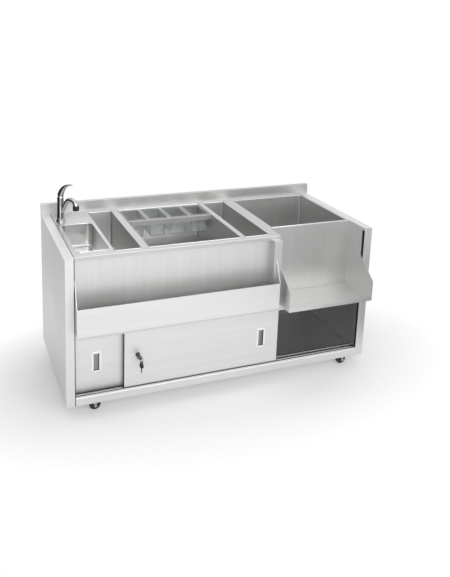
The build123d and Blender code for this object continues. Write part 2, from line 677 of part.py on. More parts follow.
def garnish_pan(x):
    """A clear one-ninth size pan with a flat rim and drawn sides."""
    ledge = PAN_REST + PAN_CLEARANCE
    outer = rounded(grown(x, -ledge), grown(PAN_Y, -ledge), PAN_CORNER)
    inset = ledge + PAN_WALL
    inner = rounded(grown(x, -inset), grown(PAN_Y, -inset), PAN_CORNER - PAN_WALL)
    rim = rounded(x, PAN_Y, PAN_CORNER + PAN_WALL)
    top = Plane.XY.offset(WORKTOP_HEIGHT)
    pan = along_z(rim, (WORKTOP_HEIGHT - PAN_RIM_THICK, WORKTOP_HEIGHT))
    pan += extrude(top * outer, amount=-PAN_DEPTH, taper=PAN_TAPER)
    return pan - extrude(top * inner, amount=PAN_WALL - PAN_DEPTH, taper=PAN_TAPER)


def ice_shell(inset):
    """A box inside the outer faces of the ice bin."""
    z = (ICE_OUTER_FLOOR + inset, WORKTOP_UNDERSIDE)
    return block(grown(ICE_OUTER_X, -inset), grown(ICE_OUTER_Y, -inset), z)


def ice_drain_hole():
    """The drain opening down through the bottom of the ice bin."""
    return along_z(Pos(*ICE_DRAIN_AT) * Circle(ICE_DRAIN_THREAD), (ICE_OUTER_FLOOR, ICE_FLOOR))


def ice_jacket():
    """The outer skin of the ice bin. Its front is the back wall of the shelf bay."""
    return ice_shell(0) - ice_shell(SHEET) - ice_drain_hole()


def ice_insulation():
    """The foam between the jacket and the liner."""
    space = rounded(grown(ICE_X, SHEET), grown(ICE_Y, SHEET), BIN_CORNER + SHEET)
    return ice_shell(SHEET) - along_z(space, (ICE_FLOOR - SHEET, WORKTOP_UNDERSIDE)) - ice_drain_hole()


def ice_liner():
    """The inner bin that holds the ice."""
    return open_bin(ICE_X, ICE_Y, ICE_FLOOR, BIN_CORNER) - ice_drain_hole()


def ice_false_floor():
    """The perforated plate that keeps ice above its melt water, on two folded legs."""
    x = grown(ICE_X, -FALSE_FLOOR_GAP)
    y = grown(ICE_Y, -FALSE_FLOOR_GAP)
    top = ICE_FLOOR + FALSE_FLOOR_HEIGHT
    face = rounded(x, y, BIN_CORNER)
    pattern = GridLocations(FALSE_FLOOR_PITCH, FALSE_FLOOR_PITCH, FALSE_FLOOR_COLUMNS, FALSE_FLOOR_ROWS)
    face -= [Pos(*ICE_DRAIN_AT) * place * Circle(FALSE_FLOOR_HOLE) for place in pattern]
    plate = along_z(face, (top - SHEET, top))
    leg_x = grown(x, -BIN_CORNER)
    for leg_y in ((y[0], y[0] + SHEET), (y[1] - SHEET, y[1])):
        plate += block(leg_x, leg_y, (ICE_FLOOR, top))
    return plate


def ice_drain():
    """The flanged drain through the bottom of the ice bin, with its nut."""
    top = ICE_FLOOR + ICE_DRAIN_FLANGE_THICK
    low = ICE_OUTER_FLOOR - ICE_DRAIN_DROP
    nut_low = ICE_OUTER_FLOOR - ICE_DRAIN_NUT_HEIGHT
    body = turned([
        (ICE_DRAIN_BORE, top),
        (ICE_DRAIN_FLANGE, top),
        (ICE_DRAIN_FLANGE, ICE_FLOOR),
        (ICE_DRAIN_THREAD, ICE_FLOOR),
        (ICE_DRAIN_THREAD, nut_low - THREAD_PAST_NUT),
        (ICE_DRAIN_TAIL, nut_low - THREAD_PAST_NUT),
        (ICE_DRAIN_TAIL, low),
        (ICE_DRAIN_BORE, low),
    ])
    nut = hex_nut(ICE_DRAIN_NUT_WIDTH, ICE_DRAIN_THREAD, (nut_low, ICE_OUTER_FLOOR))
    return placed(Pos(*ICE_DRAIN_AT), body, nut)


def projecting_shelf():
    """The projecting shelf with a front lip and two side walls that step down to its front."""
    front = FRONT - SHELF_REACH
    step = FRONT + SHELF_CHEEK_SETBACK
    rear = ICE_OUTER_Y[0]
    section = flat((front, rear), (DECK_LEVEL, DECK_LEVEL + SHEET))
    section += flat((front, front + SHEET), (DECK_LEVEL, DECK_LEVEL + SHELF_LIP))
    wall = outline([
        (front, DECK_LEVEL),
        (front, DECK_LEVEL + SHELF_CHEEK),
        (step, DECK_LEVEL + SHELF_CHEEK_TOP),
        (step, WORKTOP_UNDERSIDE),
        (rear, WORKTOP_UNDERSIDE),
        (rear, DECK_LEVEL),
    ])
    left, right = ICE_OUTER_X
    shelf = along_x(section, ICE_OUTER_X)
    return shelf + along_x(wall, (left, left + SHEET)) + along_x(wall, (right - SHEET, right))


def bottle_rail():
    """The rail in front of the worktop: floor, front plate with a hem, and two sloping cheeks."""
    front = FRONT - RAIL_REACH
    rear = FRONT + RAIL_BACK_SETBACK - SHEET
    right = PARTITION_X[0] + RAIL_OVERHANG
    plate_top = DECK_LEVEL + RAIL_PLATE
    floor_z = (DECK_LEVEL, DECK_LEVEL + SHEET)
    section = flat((front, front + SHEET), (DECK_LEVEL, plate_top))
    section += flat((front, front + 2 * SHEET), (plate_top - HEM, plate_top))
    section += flat((front, FRONT), floor_z)
    left_cheek = outline([
        (front, DECK_LEVEL),
        (front, plate_top),
        (front + (EDGE_BOTTOM - plate_top) / RAIL_CHEEK_SLOPE, EDGE_BOTTOM),
        (rear, EDGE_BOTTOM),
        (rear, DECK_LEVEL),
    ])
    right_cheek = outline([
        (front, DECK_LEVEL),
        (front, plate_top),
        (FRONT, plate_top + RAIL_REACH * RAIL_CHEEK_SLOPE),
        (FRONT, DECK_LEVEL),
    ])
    rail = along_x(section, (INNER_LEFT, right))
    rail += block((INNER_LEFT, PARTITION_X[0]), (FRONT, rear), floor_z)
    rail += along_x(left_cheek, (INNER_LEFT, INNER_LEFT + SHEET))
    return rail + along_x(right_cheek, (right - SHEET, right))


def bottle_bay_back():
    """The wall behind the bottles, between the rail and the worktop."""
    rear = FRONT + RAIL_BACK_SETBACK
    return block((INNER_LEFT, PARTITION_X[0]), (rear - SHEET, rear), (DECK_LEVEL, WORKTOP_UNDERSIDE))


def roller_middles(door_x):
    """The X middle of each roller of a door."""
    return (door_x + ROLLER_INSET, door_x + DOOR_WIDTH - ROLLER_INSET)


def lug_face(door_y):
    """The front face of a door's hanger lugs, behind the track ledge."""
    return door_y + DOOR_THICK / 2


def roller_span(door_y):
    """The Y span of a door's rollers, between the shoulder and the head of their axles."""
    rear = lug_face(door_y) - AXLE_HEAD_THICK - ROLLER_GAP
    return (rear - ROLLER_WIDTH, rear)


def pull_opening():
    """The opening in a door that the cup of its flush pull fills."""
    return RectangleRounded(PULL_WIDTH - 2 * PULL_RIM, PULL_HEIGHT - 2 * PULL_RIM, PULL_CORNER)


def door(door_x, door_y, pull_x):
    """A door tray folded from one sheet, open at the back, hung on two lugs with roller axles."""
    x = (door_x, door_x + DOOR_WIDTH)
    y = (door_y, door_y + DOOR_THICK)
    z = (DOOR_BOTTOM, DOOR_TOP)
    tray = block(x, y, z)
    tray -= block(grown(x, -SHEET), (y[0] + SHEET, y[1]), grown(z, -SHEET))
    tray -= along_y(Pos(pull_x, PULL_Z) * pull_opening(), (y[0], y[0] + SHEET))
    face = lug_face(door_y)
    head_rear = roller_span(door_y)[0] - ROLLER_GAP
    axle_y = (head_rear - AXLE_HEAD_THICK, face)
    for middle in roller_middles(door_x):
        lug_z = (DOOR_TOP - SHEET, ROLLER_Z + LUG_RISE)
        tray += block(around(middle, LUG_WIDTH), (face, face + LUG_THICK), lug_z)
        axis = Pos(middle, ROLLER_Z)
        tray += along_y(axis * Circle(AXLE_RADIUS), axle_y)
        tray += along_y(axis * Circle(AXLE_HEAD_RADIUS), (axle_y[0], head_rear))
        tray += along_y(axis * Circle(AXLE_HEAD_RADIUS), (face - AXLE_HEAD_THICK, face))
    return tray


def front_door():
    """The front door, with a round hole for the push lock."""
    hole = Pos(LOCK_X, LOCK_HEIGHT) * Circle(BARREL_RADIUS)
    tray = door(FRONT_DOOR_X, FRONT_DOOR_Y, FRONT_PULL_X)
    return tray - along_y(hole, (FRONT_DOOR_Y, FRONT_DOOR_Y + SHEET))


def door_pull(pull_x, door_y):
    """A flush pull: a rim on the face of the door and a pressed cup behind it."""
    at = Pos(pull_x, PULL_Z)
    front = door_y - PULL_RIM_THICK
    inset = 2 * (PULL_RIM + PULL_WALL)
    rim = RectangleRounded(PULL_WIDTH, PULL_HEIGHT, PULL_CORNER + PULL_RIM)
    hollow = RectangleRounded(PULL_WIDTH - inset, PULL_HEIGHT - inset, PULL_CORNER - PULL_WALL)
    cup = along_y(at * rim, (front, door_y)) + along_y(at * pull_opening(), (door_y, door_y + PULL_DEPTH))
    return cup - along_y(at * hollow, (front, door_y + PULL_DEPTH - PULL_WALL))


def door_roller(middle, door_y):
    """A nylon roller with a bore for its axle."""
    ring = Circle(ROLLER_RADIUS) - Circle(AXLE_RADIUS + RUNNING_FIT)
    return along_y(Pos(middle, ROLLER_Z) * ring, roller_span(door_y))


def lock_barrel():
    """The lock housing with its front flange."""
    at = Pos(LOCK_X, LOCK_HEIGHT)
    y = (FRONT_DOOR_Y - BARREL_FLANGE_THICK, FRONT_DOOR_Y + BARREL_LENGTH)
    barrel = along_y(at * Circle(BARREL_FLANGE_RADIUS), (y[0], FRONT_DOOR_Y))
    barrel += along_y(at * Circle(BARREL_RADIUS), (FRONT_DOOR_Y, y[1]))
    return barrel - along_y(at * Circle(CORE_RADIUS + RUNNING_FIT), y)


def lock_core():
    """The plunger that locks when it is pushed in, bored for the key plug."""
    at = Pos(LOCK_X, LOCK_HEIGHT)
    core = along_y(at * Circle(CORE_RADIUS), (CORE_FRONT, FRONT_DOOR_Y + CORE_REACH))
    bore = along_y(at * Circle(PLUG_RADIUS + RUNNING_FIT), (CORE_FRONT, CORE_FRONT + PLUG_LENGTH))
    return core - bore


def blade_section():
    """The section of a key's blade across its length."""
    return Rectangle(KEY_BLADE_WIDTH, KEY_BLADE_THICK)


def lock_plug():
    """The turning plug in the face of the core, slotted for the key's blade."""
    at = Pos(LOCK_X, LOCK_HEIGHT)
    plug = along_y(at * Circle(PLUG_RADIUS), (CORE_FRONT, CORE_FRONT + PLUG_LENGTH))
    return plug - along_y(at * blade_section(), (CORE_FRONT, CORE_FRONT + KEY_BLADE_SEAT))


def key_head():
    """The outline of a key's head: its eye on the origin, widening along the first axis."""
    eye = Circle(KEY_EYE_RIM)
    grip = Pos(KEY_HEAD_SPACING, 0) * Circle(KEY_HEAD_RADIUS)
    return make_hull(eye.edges() + grip.edges()) - Circle(KEY_EYE)


def lock_key():
    """The key in the lock, its head level and its eye at the far end."""
    at = Pos(LOCK_X, LOCK_HEIGHT)
    head = along_z(Pos(LOCK_X, KEY_EYE_Y) * Rot(Z=90) * key_head(), around(LOCK_HEIGHT, KEY_THICK))
    neck = along_y(at * Rectangle(KEY_NECK_WIDTH, KEY_THICK), (CORE_FRONT - KEY_NECK - KEY_THICK, CORE_FRONT))
    return head + neck + along_y(at * blade_section(), (CORE_FRONT, CORE_FRONT + KEY_BLADE_SEAT))


def key_ring():
    """The wire ring that hangs in the eye of the key."""
    return Pos(KEY_RIM_X, KEY_EYE_Y, KEY_RING_Z) * Rot(X=90) * Torus(KEY_RING_RADIUS, KEY_RING_WIRE)


def spare_key():
    """The second key, hanging from the ring with its blade down."""
    head = along_x(Rot(Z=-90) * key_head(), around(0, KEY_THICK))
    grip_end = -KEY_HEAD_SPACING - KEY_HEAD_RADIUS
    blade_z = (grip_end - KEY_BLADE_LENGTH, grip_end + KEY_NECK)
    blade = block(around(0, KEY_BLADE_THICK), around(0, KEY_BLADE_WIDTH), blade_z)
    return Pos(KEY_RIM_X, KEY_EYE_Y, SPARE_EYE_Z) * Rot(Z=SPARE_KEY_TURN) * (head + blade)


def lock_strike():
    """The stop on the rear door that the pushed-in bolt stands against when both doors are shut."""
    right = FRONT_DOOR_CLOSED_X + LOCK_INSET - CORE_RADIUS - STRIKE_PLAY
    stop = block(
        (right - STRIKE_WIDTH, right),
        (REAR_DOOR_Y - STRIKE_PROUD, REAR_DOOR_Y),
        around(LOCK_HEIGHT, STRIKE_HEIGHT),
    )
    return fillet(stop.edges().filter_by(Axis.Z).group_by(Axis.Y)[0], STRIKE_ROUND)


def castor_plate(at):
    """A castor's top plate with its ball race and the riveted kingpin."""
    head_top = CROWN_LOW - CASTOR_GAP
    head_low = head_top - KINGPIN_HEAD_THICK
    pin = turned([
        (0, PLATE_LOW),
        (RACE_RADIUS, PLATE_LOW),
        (RACE_RADIUS, RACE_LOW),
        (KINGPIN_RADIUS, RACE_LOW),
        (KINGPIN_RADIUS, head_top),
        (KINGPIN_HEAD_RADIUS, head_top),
        (KINGPIN_HEAD_RADIUS, head_low),
        (0, head_low),
    ])
    plate = RectangleRounded(CASTOR_PLATE, CASTOR_PLATE, CASTOR_PLATE_CORNER)
    return Pos(*at) * (along_z(plate, (PLATE_LOW, CASTOR_HEIGHT)) + pin) - bolt_holes(at)


def castor_bolt():
    """A plate bolt about Z, with its head under the plate."""
    head = RegularPolygon(BOLT_HEAD_WIDTH / 2, 6, major_radius=False)
    shank = along_z(Circle(BOLT_RADIUS), (PLATE_LOW, CASTOR_HEIGHT + SHEET + BOLT_PAST))
    return shank + along_z(head, (PLATE_LOW - BOLT_HEAD_HEIGHT, PLATE_LOW))


def castor_plates():
    """All four top plates with their bolts."""
    solids = []
    for y in CASTOR_ROWS.values():
        for x in CASTOR_COLUMNS.values():
            solids.append(castor_plate((x, y)))
            solids.extend(place * castor_bolt() for place in bolt_places((x, y)))
    return Compound(children=solids)


def castor_fork(at):
    """The pressed fork: a crown on the kingpin and two tapering legs, with the wheel's axle."""
    axis = Pos(CASTOR_TRAIL, WHEEL_RADIUS)
    bridge = flat((0, FORK_TAIL), around(0, 2 * LEG_OUTER))
    crown = Circle(FORK_CROWN_RADIUS) + bridge - Circle(KINGPIN_RADIUS + RUNNING_FIT)
    fork = along_z(crown, (CROWN_LOW, CROWN_TOP))
    top = Line((-FORK_LEAD, CROWN_LOW), (FORK_TAIL, CROWN_LOW))
    eye = axis * Circle(FORK_EYE)
    leg = make_hull(eye.edges() + top.edges()) - axis * Circle(CASTOR_AXLE)
    fork += along_y(leg, (-LEG_OUTER, -LEG_INNER))
    fork += along_y(leg, (LEG_INNER, LEG_OUTER))
    axle = along_y(axis * Circle(CASTOR_AXLE), around(0, 2 * LEG_OUTER))
    cap = axis * Circle(CASTOR_AXLE_HEAD_RADIUS)
    axle += along_y(cap, (-LEG_OUTER - CASTOR_AXLE_HEAD_THICK, -LEG_OUTER))
    axle += along_y(cap, (LEG_OUTER, LEG_OUTER + CASTOR_AXLE_HEAD_THICK))
    return placed(Pos(*at), fork, axle)


def castor_wheel(at):
    """A wheel: a rubber tyre on a moulded hub that turns on the axle."""
    rim = WHEEL_RADIUS - TYRE_DEPTH
    half = WHEEL_WIDTH / 2
    bore = CASTOR_AXLE + RUNNING_FIT
    tyre = Cylinder(WHEEL_RADIUS, WHEEL_WIDTH)
    tyre = fillet(tyre.edges().filter_by(GeomType.CIRCLE), TYRE_ROUND) - Cylinder(rim, WHEEL_WIDTH)
    hub = turned([
        (bore, -half - HUB_PROUD),
        (HUB_BOSS, -half - HUB_PROUD),
        (HUB_BOSS, HUB_DISH - half),
        (rim, SHEET - half),
        (rim, half - SHEET),
        (HUB_BOSS, half - HUB_DISH),
        (HUB_BOSS, half + HUB_PROUD),
        (bore, half + HUB_PROUD),
    ])
    return placed(Pos(at[0] + CASTOR_TRAIL, at[1], WHEEL_RADIUS) * Rot(X=90), tyre, hub)


nodes = {
    "side_panel_left": side_panel(),
    "side_panel_right": mirror(side_panel(), about=Plane.YZ),
    "side_liner_left": side_liner(),
    "side_liner_right": mirror(side_liner(), about=Plane.YZ),
    "back_panel": back_panel(),
    "backsplash": backsplash(),
    "base_tray": base_tray(),
    "castor_channels": Compound(children=[castor_channel(y) for y in CASTOR_ROWS.values()]),
    "centre_partition": centre_partition(),
    "upper_door_track": upper_door_track(),
    "lower_door_guide": lower_door_guide(),
    "worktop": worktop(),
    "sink_bowl": sink_bowl(),
    "sink_waste": sink_waste(),
    "sink_strainer": sink_strainer(),
    "tap_body": tap_body(),
    "tap_aerator": tap_aerator(),
    "tap_swivel_cap": tap_swivel_cap(),
    "tap_lever": tap_lever(),
    "tap_fixing": tap_fixing(),
    "bottle_bin_left": open_bin(LEFT_BIN_X, WELL_Y, WORKTOP_HEIGHT - BIN_DEPTH, BIN_CORNER),
    "bottle_bin_right": open_bin(RIGHT_BIN_X, WELL_Y, WORKTOP_HEIGHT - BIN_DEPTH, BIN_CORNER),
    "glass_well": open_bin(WELL_X, WELL_Y, WORKTOP_HEIGHT - WELL_DEPTH, BIN_CORNER),
    "pan_frame": pan_frame(),
    "ice_liner": ice_liner(),
    "ice_insulation": ice_insulation(),
    "ice_jacket": ice_jacket(),
    "ice_false_floor": ice_false_floor(),
    "ice_drain": ice_drain(),
    "projecting_shelf": projecting_shelf(),
    "bottle_rail": bottle_rail(),
    "bottle_bay_back": bottle_bay_back(),
    "front_door": front_door(),
    "rear_door": door(REAR_DOOR_X, REAR_DOOR_Y, REAR_PULL_X),
    "front_door_pull": door_pull(FRONT_PULL_X, FRONT_DOOR_Y),
    "rear_door_pull": door_pull(REAR_PULL_X, REAR_DOOR_Y),
    "lock_barrel": lock_barrel(),
    "lock_core": lock_core(),
    "lock_plug": lock_plug(),
    "lock_key": lock_key(),
    "key_ring": key_ring(),
    "spare_key": spare_key(),
    "lock_strike": lock_strike(),
    "castor_plates": castor_plates(),
}
for number, span in enumerate(pan_spans(), 1):
    nodes[f"garnish_pan_{number}"] = garnish_pan(span)
for which, door_x, door_y in (("front", FRONT_DOOR_X, FRONT_DOOR_Y), ("rear", REAR_DOOR_X, REAR_DOOR_Y)):
    for side, middle in zip(("left", "right"), roller_middles(door_x)):
        nodes[f"{which}_door_roller_{side}"] = door_roller(middle, door_y)
for row, y in CASTOR_ROWS.items():
    for column, x in CASTOR_COLUMNS.items():
        nodes[f"castor_fork_{row}_{column}"] = castor_fork((x, y))
        nodes[f"castor_wheel_{row}_{column}"] = castor_wheel((x, y))

os.makedirs("parts", exist_ok=True)
for name, shape in nodes.items():
    export_step(shape, f"parts/{name}.step")
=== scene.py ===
import math

import bmesh
import bpy
from mathutils import Matrix, Vector


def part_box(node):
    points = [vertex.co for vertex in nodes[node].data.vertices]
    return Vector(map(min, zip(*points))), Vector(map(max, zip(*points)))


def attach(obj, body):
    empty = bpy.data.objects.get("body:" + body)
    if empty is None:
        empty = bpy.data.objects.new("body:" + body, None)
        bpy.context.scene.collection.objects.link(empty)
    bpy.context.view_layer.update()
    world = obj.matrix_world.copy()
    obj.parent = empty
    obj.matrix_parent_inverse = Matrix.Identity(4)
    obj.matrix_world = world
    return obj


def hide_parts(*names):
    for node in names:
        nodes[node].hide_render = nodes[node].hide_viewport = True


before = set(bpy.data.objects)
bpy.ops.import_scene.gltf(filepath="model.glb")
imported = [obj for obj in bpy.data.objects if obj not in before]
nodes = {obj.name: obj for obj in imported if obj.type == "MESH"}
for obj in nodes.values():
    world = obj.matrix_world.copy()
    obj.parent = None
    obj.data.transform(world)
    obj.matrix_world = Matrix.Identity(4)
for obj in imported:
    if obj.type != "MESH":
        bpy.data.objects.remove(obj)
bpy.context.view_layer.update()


# Carcass: side panels, liners, back, backsplash, base tray and castor channels.
# Stainless sheet, cut and folded, welded at the corners and polished over, with the grain of the
# mill running along each panel. A near-black line painted down the left flange's inner edge is
# painted shade for the gap beside the doors.
PATTERN_LOW = 0.3
PATTERN_HIGH = 0.7


def new_material(name):
    """An empty finish with its shader."""
    material = bpy.data.materials.new(name)
    material.use_nodes = True
    return material, material.node_tree, material.node_tree.nodes["Principled BSDF"]


def pattern(tree, scale, detail):
    """A noise pattern on the piece's own coordinates, with its own scale along each axis."""
    coordinates = tree.nodes.new("ShaderNodeTexCoord")
    mapping = tree.nodes.new("ShaderNodeMapping")
    mapping.inputs["Scale"].default_value = scale
    noise = tree.nodes.new("ShaderNodeTexNoise")
    noise.inputs["Scale"].default_value = 1.0
    noise.inputs["Detail"].default_value = detail
    tree.links.new(coordinates.outputs["Object"], mapping.inputs["Vector"])
    tree.links.new(mapping.outputs["Vector"], noise.inputs["Vector"])
    return noise.outputs["Fac"]


def spread(tree, value, low, high):
    """A pattern stretched between two numbers."""
    stretch = tree.nodes.new("ShaderNodeMapRange")
    stretch.inputs["From Min"].default_value = PATTERN_LOW
    stretch.inputs["From Max"].default_value = PATTERN_HIGH
    stretch.inputs["To Min"].default_value = low
    stretch.inputs["To Max"].default_value = high
    tree.links.new(value, stretch.inputs["Value"])
    return stretch.outputs["Result"]


def blended(tree, first, second, share):
    """Two patterns mixed into one."""
    mix = tree.nodes.new("ShaderNodeMix")
    mix.inputs["Factor"].default_value = share
    tree.links.new(first, mix.inputs["A"])
    tree.links.new(second, mix.inputs["B"])
    return mix.outputs["Result"]


def toned(tree, value, dark, light):
    """A pattern turned into a colour between two tones."""
    ramp = tree.nodes.new("ShaderNodeValToRGB")
    ramp.color_ramp.elements[0].position = PATTERN_LOW
    ramp.color_ramp.elements[0].color = (*dark, 1)
    ramp.color_ramp.elements[1].position = PATTERN_HIGH
    ramp.color_ramp.elements[1].color = (*light, 1)
    tree.links.new(value, ramp.inputs["Fac"])
    return ramp.outputs["Color"]


def raised(tree, shader, height, depth):
    """A pattern used as a relief of the given depth in metres."""
    bump = tree.nodes.new("ShaderNodeBump")
    bump.inputs["Strength"].default_value = 1.0
    bump.inputs["Distance"].default_value = depth
    tree.links.new(height, bump.inputs["Height"])
    tree.links.new(bump.outputs["Normal"], shader.inputs["Normal"])


def worked_out(tree, operation, *values):
    """A sum on sockets and plain numbers."""
    node = tree.nodes.new("ShaderNodeMath")
    node.operation = operation
    for socket, value in zip(node.inputs, values):
        if isinstance(value, float):
            socket.default_value = value
        else:
            tree.links.new(value, socket)
    return node.outputs["Value"]


STEEL_WARMTH = 0.005
GRAIN_SCALE, GRAIN_STRETCHED = 700.0, 6.0
STREAK_SCALE, STREAK_STRETCHED = 42.0, 1.1
STREAK_SHARE = 0.6
STREAK_DARK, STREAK_LIGHT = 0.96, 1.04
MARK_SCALE = 4.5
MARK_SHARE = 0.55
SMOOTHER, ROUGHER = 0.04, 0.05
GRAIN_DEPTH = 0.00002
# Near-black colour of the painted shade in the gaps beside the doors.
PAINTED_SHADE_TONE = (0.02, 0.02, 0.02, 1)


def steel_grey(level):
    """The faintly warm grey of stainless steel at a given level."""
    return (level, level, level - STEEL_WARMTH)


def grained_steel(name, grain, tone, rough):
    """Stainless sheet with a mill grain along one axis, broad polishing streaks and faint handling marks."""
    material, tree, shader = new_material(name)
    axis = "XYZ".index(grain)
    fine_scale = [GRAIN_SCALE] * 3
    fine_scale[axis] = GRAIN_STRETCHED
    broad_scale = [STREAK_SCALE] * 3
    broad_scale[axis] = STREAK_STRETCHED
    fine = pattern(tree, fine_scale, 2)
    broad = pattern(tree, broad_scale, 3)
    marks = pattern(tree, [MARK_SCALE] * 3, 3)
    shader.inputs["Metallic"].default_value = 1.0
    streaks = blended(tree, fine, broad, STREAK_SHARE)
    dark = [channel * STREAK_DARK for channel in tone]
    light = [min(channel * STREAK_LIGHT, 1) for channel in tone]
    tree.links.new(toned(tree, streaks, dark, light), shader.inputs["Base Color"])
    wear = blended(tree, fine, marks, MARK_SHARE)
    tree.links.new(spread(tree, wear, rough - SMOOTHER, rough + ROUGHER), shader.inputs["Roughness"])
    raised(tree, shader, fine, GRAIN_DEPTH)
    return material


def with_painted_shade(material, *zones):
    """Paints shade into a finish: near-black zones of its own coordinates, each a list of axis, middle and
    half a width.
    """
    tree = material.node_tree
    shader = tree.nodes["Principled BSDF"]
    colour = shader.inputs["Base Color"].links[0].from_socket
    coordinates = tree.nodes.new("ShaderNodeTexCoord")
    axes = tree.nodes.new("ShaderNodeSeparateXYZ")
    tree.links.new(coordinates.outputs["Object"], axes.inputs["Vector"])
    for zone in zones:
        share = 1.0
        for axis, middle, half in zone:
            inside = worked_out(tree, "COMPARE", axes.outputs[axis], middle, half)
            share = worked_out(tree, "MULTIPLY", inside, share)
        mix = tree.nodes.new("ShaderNodeMixRGB")
        mix.inputs["Color2"].default_value = PAINTED_SHADE_TONE
        tree.links.new(share, mix.inputs["Fac"])
        tree.links.new(colour, mix.inputs["Color1"])
        colour = mix.outputs["Color"]
    tree.links.new(colour, shader.inputs["Base Color"])


def finish(material, *names):
    """Gives CAD nodes their finish."""
    for name in names:
        nodes[name].data.materials.clear()
        nodes[name].data.materials.append(material)


FLANGE_TO_DOOR = 0.002
FLANGE_SHADE_LINE = 0.0035
upright_sheet = grained_steel("upright_stainless_sheet", "Z", steel_grey(0.72), 0.46)
long_sheet = grained_steel("long_stainless_sheet", "X", steel_grey(0.72), 0.44)
left_sheet = grained_steel("left_panel_stainless_sheet", "Z", steel_grey(0.72), 0.46)
flange_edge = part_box("rear_door")[0][0] - FLANGE_TO_DOOR
flange_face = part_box("side_panel_left")[0][1]
# Painted shade: a near-black line down the flange's inner edge, for the gap beside the rear door.
with_painted_shade(left_sheet, (("X", flange_edge, FLANGE_SHADE_LINE), ("Y", flange_face, FLANGE_SHADE_LINE)))
finish(left_sheet, "side_panel_left")
finish(upright_sheet, "side_panel_right", "side_liner_left", "side_liner_right")
finish(long_sheet, "back_panel", "base_tray", "castor_channels")
# The backsplash takes a darker copy of the sheet: painted shade.
finish(grained_steel("backsplash_painted_shade_stainless", "X", steel_grey(0.50), 0.44), "backsplash")


# Centre partition, the back wall of the rail's bay and the door gear of the carcass.
# Folded sheet with an upright grain, and a track and sill guide of rolled steel strip. The tops of the
# guide's ribs are painted near-black as the shade under the doors' bottom edges.
SILL_SHADE_LINE = 0.0032
# The partition takes a darker copy of the sheet: painted shade.
finish(grained_steel("partition_painted_shade_stainless", "Z", steel_grey(0.58), 0.46), "centre_partition")
finish(grained_steel("bay_wall_stainless", "Z", steel_grey(0.66), 0.46), "bottle_bay_back")
finish(grained_steel("rolled_track_steel", "X", steel_grey(0.64), 0.42), "upper_door_track")
sill_steel = grained_steel("rolled_sill_steel", "X", steel_grey(0.64), 0.42)
# Painted shade: a near-black line along the tops of the guide's ribs, under the doors.
with_painted_shade(sill_steel, (("Z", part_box("lower_door_guide")[1][2], SILL_SHADE_LINE),))
finish(sill_steel, "lower_door_guide")


# Worktop with the bins, glass well and pan frame under it.
# One sheet with its front edge folded and hemmed. The bins are folded boxes welded to its openings.
# The worktop and pan frame take a darker copy of the sheet: painted shade.
finish(grained_steel("worktop_painted_shade_stainless", "X", steel_grey(0.57), 0.40), "worktop", "pan_frame")
deep_sheet = grained_steel("bin_stainless_sheet", "Y", steel_grey(0.62), 0.40)
finish(deep_sheet, "bottle_bin_left", "bottle_bin_right", "glass_well")


# Rims of the wells: the polished weld along the top of each opening.
# A bead of filler, ground and polished round, so that no edge of the opening is sharp.
RIM_BEAD = 0.0014
RIM_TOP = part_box("worktop")[1][2]
BIN_CORNER = 0.010
SINK_CORNER = 0.028
SMOOTH_BELOW = math.radians(35)
openings = {
    "sink_rim": ((-0.734, -0.216), (-0.574, 0.182), SINK_CORNER),
    "left_bin_rim": ((-0.560, -0.240), (-0.430, 0.352), BIN_CORNER),
    "well_rim": ((-0.396, -0.240), (0.076, 0.352), BIN_CORNER),
    "right_bin_rim": ((0.100, -0.240), (0.230, 0.352), BIN_CORNER),
    "ice_rim": ((0.291, -0.146), (0.740, 0.352), BIN_CORNER),
}


def begun(add, scale=(1, 1, 1), **place):
    """Adds a primitive at its size and place, with nothing else selected, and opens it for shaping."""
    bpy.ops.object.select_all(action="DESELECT")
    add(**place)
    piece = bpy.context.object
    piece.scale = scale
    bpy.ops.object.transform_apply(location=True, rotation=True, scale=True)
    bpy.ops.object.mode_set(mode="EDIT")
    bpy.ops.mesh.select_mode(type="VERT")
    bpy.ops.mesh.select_all(action="SELECT")
    return piece


def settle(piece):
    """Leaves a finished piece at the origin with its place in its mesh, smooth where it curves."""
    bpy.ops.object.select_all(action="DESELECT")
    piece.select_set(True)
    bpy.context.view_layer.objects.active = piece
    bpy.ops.object.transform_apply(location=True, rotation=True, scale=True)
    bpy.ops.object.shade_smooth_by_angle(angle=SMOOTH_BELOW)


def fix_to(piece, name, body, material):
    """Names a finished piece, gives it its finish and fixes it to a body."""
    piece.name = name
    piece.data.name = name
    piece.data.materials.clear()
    piece.data.materials.append(material)
    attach(piece, body)


weld = grained_steel("polished_weld", "X", steel_grey(0.72), 0.26)
for rim_name, (low, high, corner) in openings.items():
    begun(
        bpy.ops.mesh.primitive_plane_add,
        scale=(high[0] - low[0], high[1] - low[1], 1),
        size=1,
        location=((low[0] + high[0]) / 2, (low[1] + high[1]) / 2, RIM_TOP),
    )
    bpy.ops.mesh.bevel(offset=corner, segments=8, affect="VERTICES")
    bpy.ops.mesh.delete(type="ONLY_FACE")
    bpy.ops.object.mode_set(mode="OBJECT")
    bpy.ops.object.convert(target="CURVE")
    rim = bpy.context.object
    rim.data.bevel_depth = RIM_BEAD
    rim.data.bevel_resolution = 3
    bpy.ops.object.convert(target="MESH")
    rim = bpy.context.object
    settle(rim)
    fix_to(rim, rim_name, "station", weld)


# Sink: the pressed bowl, its waste and the strainer.
# The bowl is deep drawn and brushed inside. Waste and strainer are turned and polished.
finish(grained_steel("bowl_stainless", "Y", steel_grey(0.64), 0.34), "sink_bowl")
turned_steel = grained_steel("turned_fitting_steel", "Z", steel_grey(0.64), 0.2)
finish(turned_steel, "sink_waste", "sink_strainer", "ice_drain")


# Tap: column with its fixed spout, swivel cap, lever, aerator and the fixing under the deck.
# Cast brass, polished and chrome plated. The aerator is a moulded insert, washer and nut are brass.
SPOT_SCALE = 90.0
FILM_SCALE = 14.0
FILM_DARK = 0.93
FILM_SHARE = 0.5
SPOT_ROUGHER = 0.06


